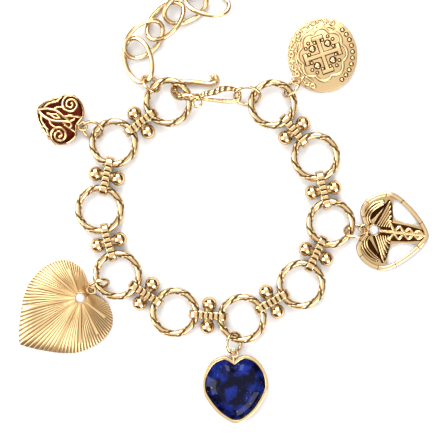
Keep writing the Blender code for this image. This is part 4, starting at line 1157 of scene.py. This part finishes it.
class StaffOperator(bpy.types.Operator):
    """Casts the open heart with its winged staff and clear stone"""

    bl_idname = "bracelet.staff"
    bl_label = "Staff heart"

    def execute(self, context):
        sizes = charm_sizes()
        row, place = charm_seat("staff")
        size = (STAFF_OUTLINE, sizes.staff_length, sizes.staff_width, row["out"])
        outline = heart(*size, 4)
        base, top = sizes.staff_base, sizes.staff_base + sizes.staff_raised
        shape = new_shape()
        self.plate(shape, size, outline, base, top)
        for side in (-1, 1):
            self.wing(shape, size, side, base, top)
        self.staff(shape, size, base)
        for share in STAFF_SEAMS:
            self.seam(shape, outline, share, top)
        stone = heart_place((0, STAFF_STONE), *size)[0]
        cup_and_stone("staff_crystal", shape, stone, base / 2, top + 0.7 * MM, place)
        eye_and_post(shape, row, (sizes.eye_radius + 0.4 * MM, 0, base))
        # Heavier painted shade on the sides of this piece.
        add_piece("staff_cast", shape, ["staff_heart"], polished_gold(), place, sides=0.95)
        return {"FINISHED"}

    def plate(self, shape, size, outline, base, top):
        """The pierced plate with its raised frame, and dark grounds of painted shade under the relief and
        below the gaps.
        """
        def both_sides(rows, steps=3):
            spots = [heart_place(point, *size) for point in through(rows, steps, closed=True)]
            return [spots, [(x, -y) for x, y in spots]]

        gaps = both_sides(STAFF_GAP)
        slab(shape, [outline] + gaps + both_sides(STAFF_WINDOW, 2), 0.0, base, 0.1 * MM, recess=0.3)
        inner = through(inset(heart(*size, 1), charm_sizes().staff_band), 4, closed=True)
        slab(shape, [outline, inner], base / 2, top, 0.45 * MM)
        # Painted shadow: a dark sheet below each gap, where the slit shows only shade.
        for gap in gaps:
            slab(shape, [inset(gap, -0.3 * MM)], 0.0, base / 3, recess=1.0)
        # Painted shade on the grounds between the stripes, the feathers and the staff.
        for hollow in both_sides(STAFF_WING) + both_sides(STAFF_LOBE):
            slab(shape, [hollow], base / 2, base + 0.05 * MM, recess=1.0)
        ground = both_halves([heart_place(point, *size) for point in STAFF_GROUND])
        slab(shape, [ground], base / 2, base + 0.08 * MM, recess=1.0)

    def wing(self, shape, size, side, base, top):
        """The stripes of one lobe, and the feathers of the wing below it."""
        width = charm_sizes().feather

        def line(rows, steps, lift):
            spots = [heart_place(point, *size) for point in through(rows, steps)]
            return [(x, side * y, lift) for x, y in spots]

        for stripe in STAFF_STRIPES:
            tube(shape, line(stripe, 6, base), width, height=1.1 * width)
        for number in range(FEATHERS):
            rows = [(x + number * along, y + number * down)
                    for (x, y), (along, down) in zip(FEATHER_LINE, FEATHER_STEP)]
            feather = line(rows, 4, top - 0.25 * MM)
            tube(shape, feather, width, height=0.8 * width, shares=FEATHER_SHARES)

    def staff(self, shape, size, base):
        """The rod, and the two serpents that cross over it."""
        sizes = charm_sizes()
        bond, neck, tip = [heart_place((0, share), *size)[0] for share in (ROD_TOP, SERPENT_TOP, ROD_END)]
        rod(shape, (bond, 0, base + 0.2 * MM), (tip, 0, base - 0.1 * MM), sizes.staff_rod)
        steps = 60
        for side in (-1, 1):
            coils = []
            for step in range(steps):
                share = step / (steps - 1)
                turn = math.tau * 1.75 * share
                swing = sizes.serpent_swing * (1 - 0.6 * share) * math.cos(turn)
                lift = base + 0.06 * MM + 0.12 * MM * side * math.sin(turn)
                coils.append((neck + (tip - neck) * (0.1 + 0.82 * share), side * swing, lift))
            tube(shape, coils, sizes.serpent, height=0.7 * sizes.serpent)

    def seam(self, shape, outline, share, top):
        """A dark line across the frame on either side."""
        half = len(outline) // 2
        inner = inset(outline, charm_sizes().staff_band)
        for index in (round(share * half), len(outline) - round(share * half)):
            start, end = Vector(outline[index]), Vector(inner[index])
            start, end = start.lerp(end, 0.15), start.lerp(end, 0.9)
            ends = [(*start, top - 0.1 * MM), (*end, top - 0.1 * MM)]
            tube(shape, ends, charm_sizes().seam, sides=8, bump=in_the_dark)


def in_the_dark(turn, place):
    """No relief, and the recess colour all over: painted shade for the line round the coin's cross, a dark
    joint line for the staff heart's seams.
    """
    return 0.0, 1.0


def dark_foot(turn, place):
    """No relief of its own, but painted shade where a mark meets the ground."""
    return 0.0, 0.0 if math.sin(turn) > 0.75 else 1.0


class CoinOperator(bpy.types.Operator):
    """Strikes the coin with its cross, border and worn marks"""

    bl_idname = "bracelet.coin"
    bl_label = "Coin"

    def execute(self, context):
        sizes = charm_sizes()
        row, place = charm_seat("coin")
        turn = math.radians(-row["charm"])
        middle = row["out"] + (sizes.coin_width + sizes.coin_height) / 4

        def turned(x, y):
            return (middle + x * math.cos(turn) - y * math.sin(turn), x * math.sin(turn) + y * math.cos(turn))

        def spot(angle, share):
            """A place on the coin: angle in the bracelet's own axes, share of the way to the edge."""
            x = share * sizes.coin_width / 2 * math.cos(math.radians(angle))
            y = share * sizes.coin_height / 2 * math.sin(math.radians(angle))
            return turned(x, y)

        shape = new_shape()
        edge = []
        for index in range(120):
            wear = 0.006 * (1 + noise.noise(Vector((index * 0.37, 0, 0))))
            edge.append(spot(3 * index, 1.0 - wear))
        slab(shape, [edge], 0.0, sizes.coin_thickness, 0.2 * MM, recess=0.12)
        self.cross(shape, turned)
        self.bosses(shape, spot)
        self.border(shape, spot)
        eye_and_post(shape, row, (sizes.eye_radius + 0.4 * MM, 0, 0.8 * MM))
        add_piece("coin_struck", shape, ["coin"], satin_gold(), place)
        return {"FINISHED"}

    def cross(self, shape, turned):
        """The cross with its footed arms, and a line of painted shade round it."""
        sizes = charm_sizes()
        thick = sizes.coin_thickness
        arm, bar, foot = sizes.cross_arm, sizes.cross_bar / 2, sizes.cross_foot / 2
        quarter = [(bar, bar), (arm - bar, bar), (arm - bar, foot), (arm + bar, foot), (arm + bar, -foot),
                   (arm - bar, -foot), (arm - bar, -bar)]
        cross = []
        for index in range(4):
            angle = math.radians(CROSS_TURN - 90 * index)
            cosine, sine = math.cos(angle), math.sin(angle)
            cross += [turned(x * cosine - y * sine, x * sine + y * cosine) for x, y in quarter]
        slab(shape, [cross], thick - 0.2 * MM, thick + sizes.coin_relief, 0.1 * MM)
        round_it = [(*point, thick) for point in inset(cross, -0.1 * MM)]
        tube(shape, round_it, 0.4 * MM, sides=6, height=0.1 * MM, closed=True, bump=in_the_dark)

    def bead(self, shape, place, width, flat, ground, spread):
        """A bead on a patch of painted shade, each with its width and how flat it is."""
        thick = charm_sizes().coin_thickness
        ball(shape, (*place, thick), ground, spread, recess=1.0)
        ball(shape, (*place, thick), width, flat)

    def bosses(self, shape, spot):
        """A boss in each quarter of the cross, with four dots round it."""
        sizes = charm_sizes()
        for angle in BOSS_TURNS:
            self.bead(shape, spot(angle, BOSS_SHARE), sizes.boss, 0.4, 1.5 * sizes.boss, 0.08)
            for turn, share in DOTS:
                self.bead(shape, spot(angle + turn, share), sizes.dot, 0.7, sizes.dot + 0.5 * MM, 0.12)

    def border(self, shape, spot):
        """The lobed line with arcs outside it, then beads on one side and worn marks on the other."""
        sizes = charm_sizes()

        def mark(points, width, closed=False):
            lifted = [(*point, sizes.coin_thickness) for point in points]
            tube(shape, lifted, width, height=2 * sizes.coin_relief, closed=closed, bump=dark_foot)

        def curve(angle, first, last, steps):
            turns = [math.tau * step / steps for step in range(first, last)]
            return [spot(angle + 4 * math.cos(turn), MARK_SHARE + 0.05 * math.sin(turn)) for turn in turns]

        lobes = []
        for index in range(120):
            lobes.append(spot(3 * index + 4, 0.6 + 0.1 * abs(math.cos(math.radians(12 * index)))))
        mark(lobes, sizes.border_line, closed=True)
        for start in ARC_TURNS:
            mark([spot(start + 3 * step, ARC_SHARE) for step in range(6)], sizes.arc)
        for angle in BEAD_TURNS:
            self.bead(shape, spot(angle, BEAD_SHARE), sizes.bead, 0.62, 1.5 * sizes.bead, 0.12)
        for index, angle in enumerate(MARK_TURNS):
            if index % 3 == 0:
                mark(curve(angle, 0, 16, 16), sizes.stroke, closed=True)
            elif index % 3 == 1:
                mark([spot(angle, 0.82), spot(angle, 0.94)], sizes.border_line)
                mark([spot(angle - 4, MARK_SHARE), spot(angle + 4, MARK_SHARE)], sizes.stroke)
            else:
                mark(curve(angle, -2, 8, 16), sizes.stroke)


class JumpRingsOperator(bpy.types.Operator):
    """Bends the jump ring of each charm"""

    bl_idname = "bracelet.jump_rings"
    bl_label = "Jump rings"

    def execute(self, context):
        sizes = chain_sizes()
        for charm, (heading, lean, *_) in CHARM_ROWS.items():
            shape = new_shape()
            tube(shape, oval(sizes.jump_radius, sizes.jump_radius, 56), sizes.jump_wire, closed=True)
            name = f"{charm}_ring"
            add_piece(name + "_wire", shape, [name], drawn_gold(), standing(box_middle(name), heading, lean))
        return {"FINISHED"}


class StageOperator(bpy.types.Operator):
    """Sets the white table, the studio lights and the camera"""

    bl_idname = "bracelet.stage"
    bl_label = "Stage"

    def execute(self, context):
        scene = context.scene
        shape = bmesh.new()
        bmesh.ops.create_grid(shape, x_segments=1, y_segments=1, size=TABLE_HALF)
        mesh = bpy.data.meshes.new("table")
        shape.to_mesh(mesh)
        shape.free()
        table = bpy.data.objects.new("table", mesh)
        scene.collection.objects.link(table)
        material, _, shader = new_material("paper_white_matt")
        shader.inputs["Base Color"].default_value = (*colours().table, 1)
        shader.inputs["Roughness"].default_value = 0.9
        mesh.materials.append(material)
        self.sky(scene)
        for lamp in LIGHTS:
            self.light(*lamp)
        data = bpy.data.cameras.new("camera")
        data.lens, data.sensor_width = LENS, SENSOR
        camera = bpy.data.objects.new("camera", data)
        scene.collection.objects.link(camera)
        camera.location = CAMERA_PLACE
        scene.camera = camera
        scene.view_settings.view_transform = "Standard"
        return {"FINISHED"}

    def sky(self, scene):
        """A studio bright overhead and dark towards the floor."""
        world = bpy.data.worlds.new("studio")
        scene.world = world
        world.use_nodes = True
        tree = world.node_tree
        where = add_node(tree, "ShaderNodeTexCoord")
        apart = add_node(tree, "ShaderNodeSeparateXYZ")
        white, amber = (0.97, 0.97, 0.97), (0.17, 0.1, 0.05)
        tones = ramp(tree, ((0.1, colours().dusk), (0.88, white), (0.55, amber)))
        tree.links.new(where.outputs["Generated"], apart.inputs["Vector"])
        tree.links.new(apart.outputs["Z"], tones.inputs["Fac"])
        tree.links.new(tones.outputs["Color"], tree.nodes["Background"].inputs["Color"])
        tree.nodes["Background"].inputs["Strength"].default_value = 1.0

    def light(self, name, place, size, power):
        """A square light that faces the bracelet."""
        data = bpy.data.lights.new(name, "AREA")
        data.size, data.energy = size, power
        lamp = bpy.data.objects.new(name, data)
        bpy.context.scene.collection.objects.link(lamp)
        lamp.location = place
        lamp.rotation_euler = (-Vector(place)).to_track_quat("-Z", "Y").to_euler()


OPERATORS = (
    RingsOperator, ConnectorsOperator, JumpRingsOperator, ExtenderOperator, HookOperator,
    FiligreeOperator, SunburstOperator, LapisOperator, StaffOperator, CoinOperator, StageOperator,
)


class BraceletPanel(bpy.types.Panel):
    """Lists the bracelet's operators"""

    bl_idname = "VIEW3D_PT_bracelet"
    bl_label = "Charm bracelet"
    bl_space_type = "VIEW_3D"
    bl_region_type = "UI"
    bl_category = "Bracelet"

    def draw(self, context):
        for operator in OPERATORS:
            self.layout.operator(operator.bl_idname)


GROUPS = {
    "bracelet_chain": ChainSizes,
    "bracelet_hook": HookSizes,
    "bracelet_charms": CharmSizes,
    "bracelet_colours": BraceletColours,
}


def register():
    for group in (*GROUPS.values(), *OPERATORS, BraceletPanel):
        bpy.utils.register_class(group)
    for name, group in GROUPS.items():
        setattr(bpy.types.Scene, name, PointerProperty(type=group))


def unregister():
    for name in GROUPS:
        delattr(bpy.types.Scene, name)
    for group in reversed((*GROUPS.values(), *OPERATORS, BraceletPanel)):
        bpy.utils.unregister_class(group)


def main():
    register()
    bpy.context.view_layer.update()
    for operator in OPERATORS:
        group, name = operator.bl_idname.split(".")
        getattr(getattr(bpy.ops, group), name)()


if __name__ == "__main__":
    main()
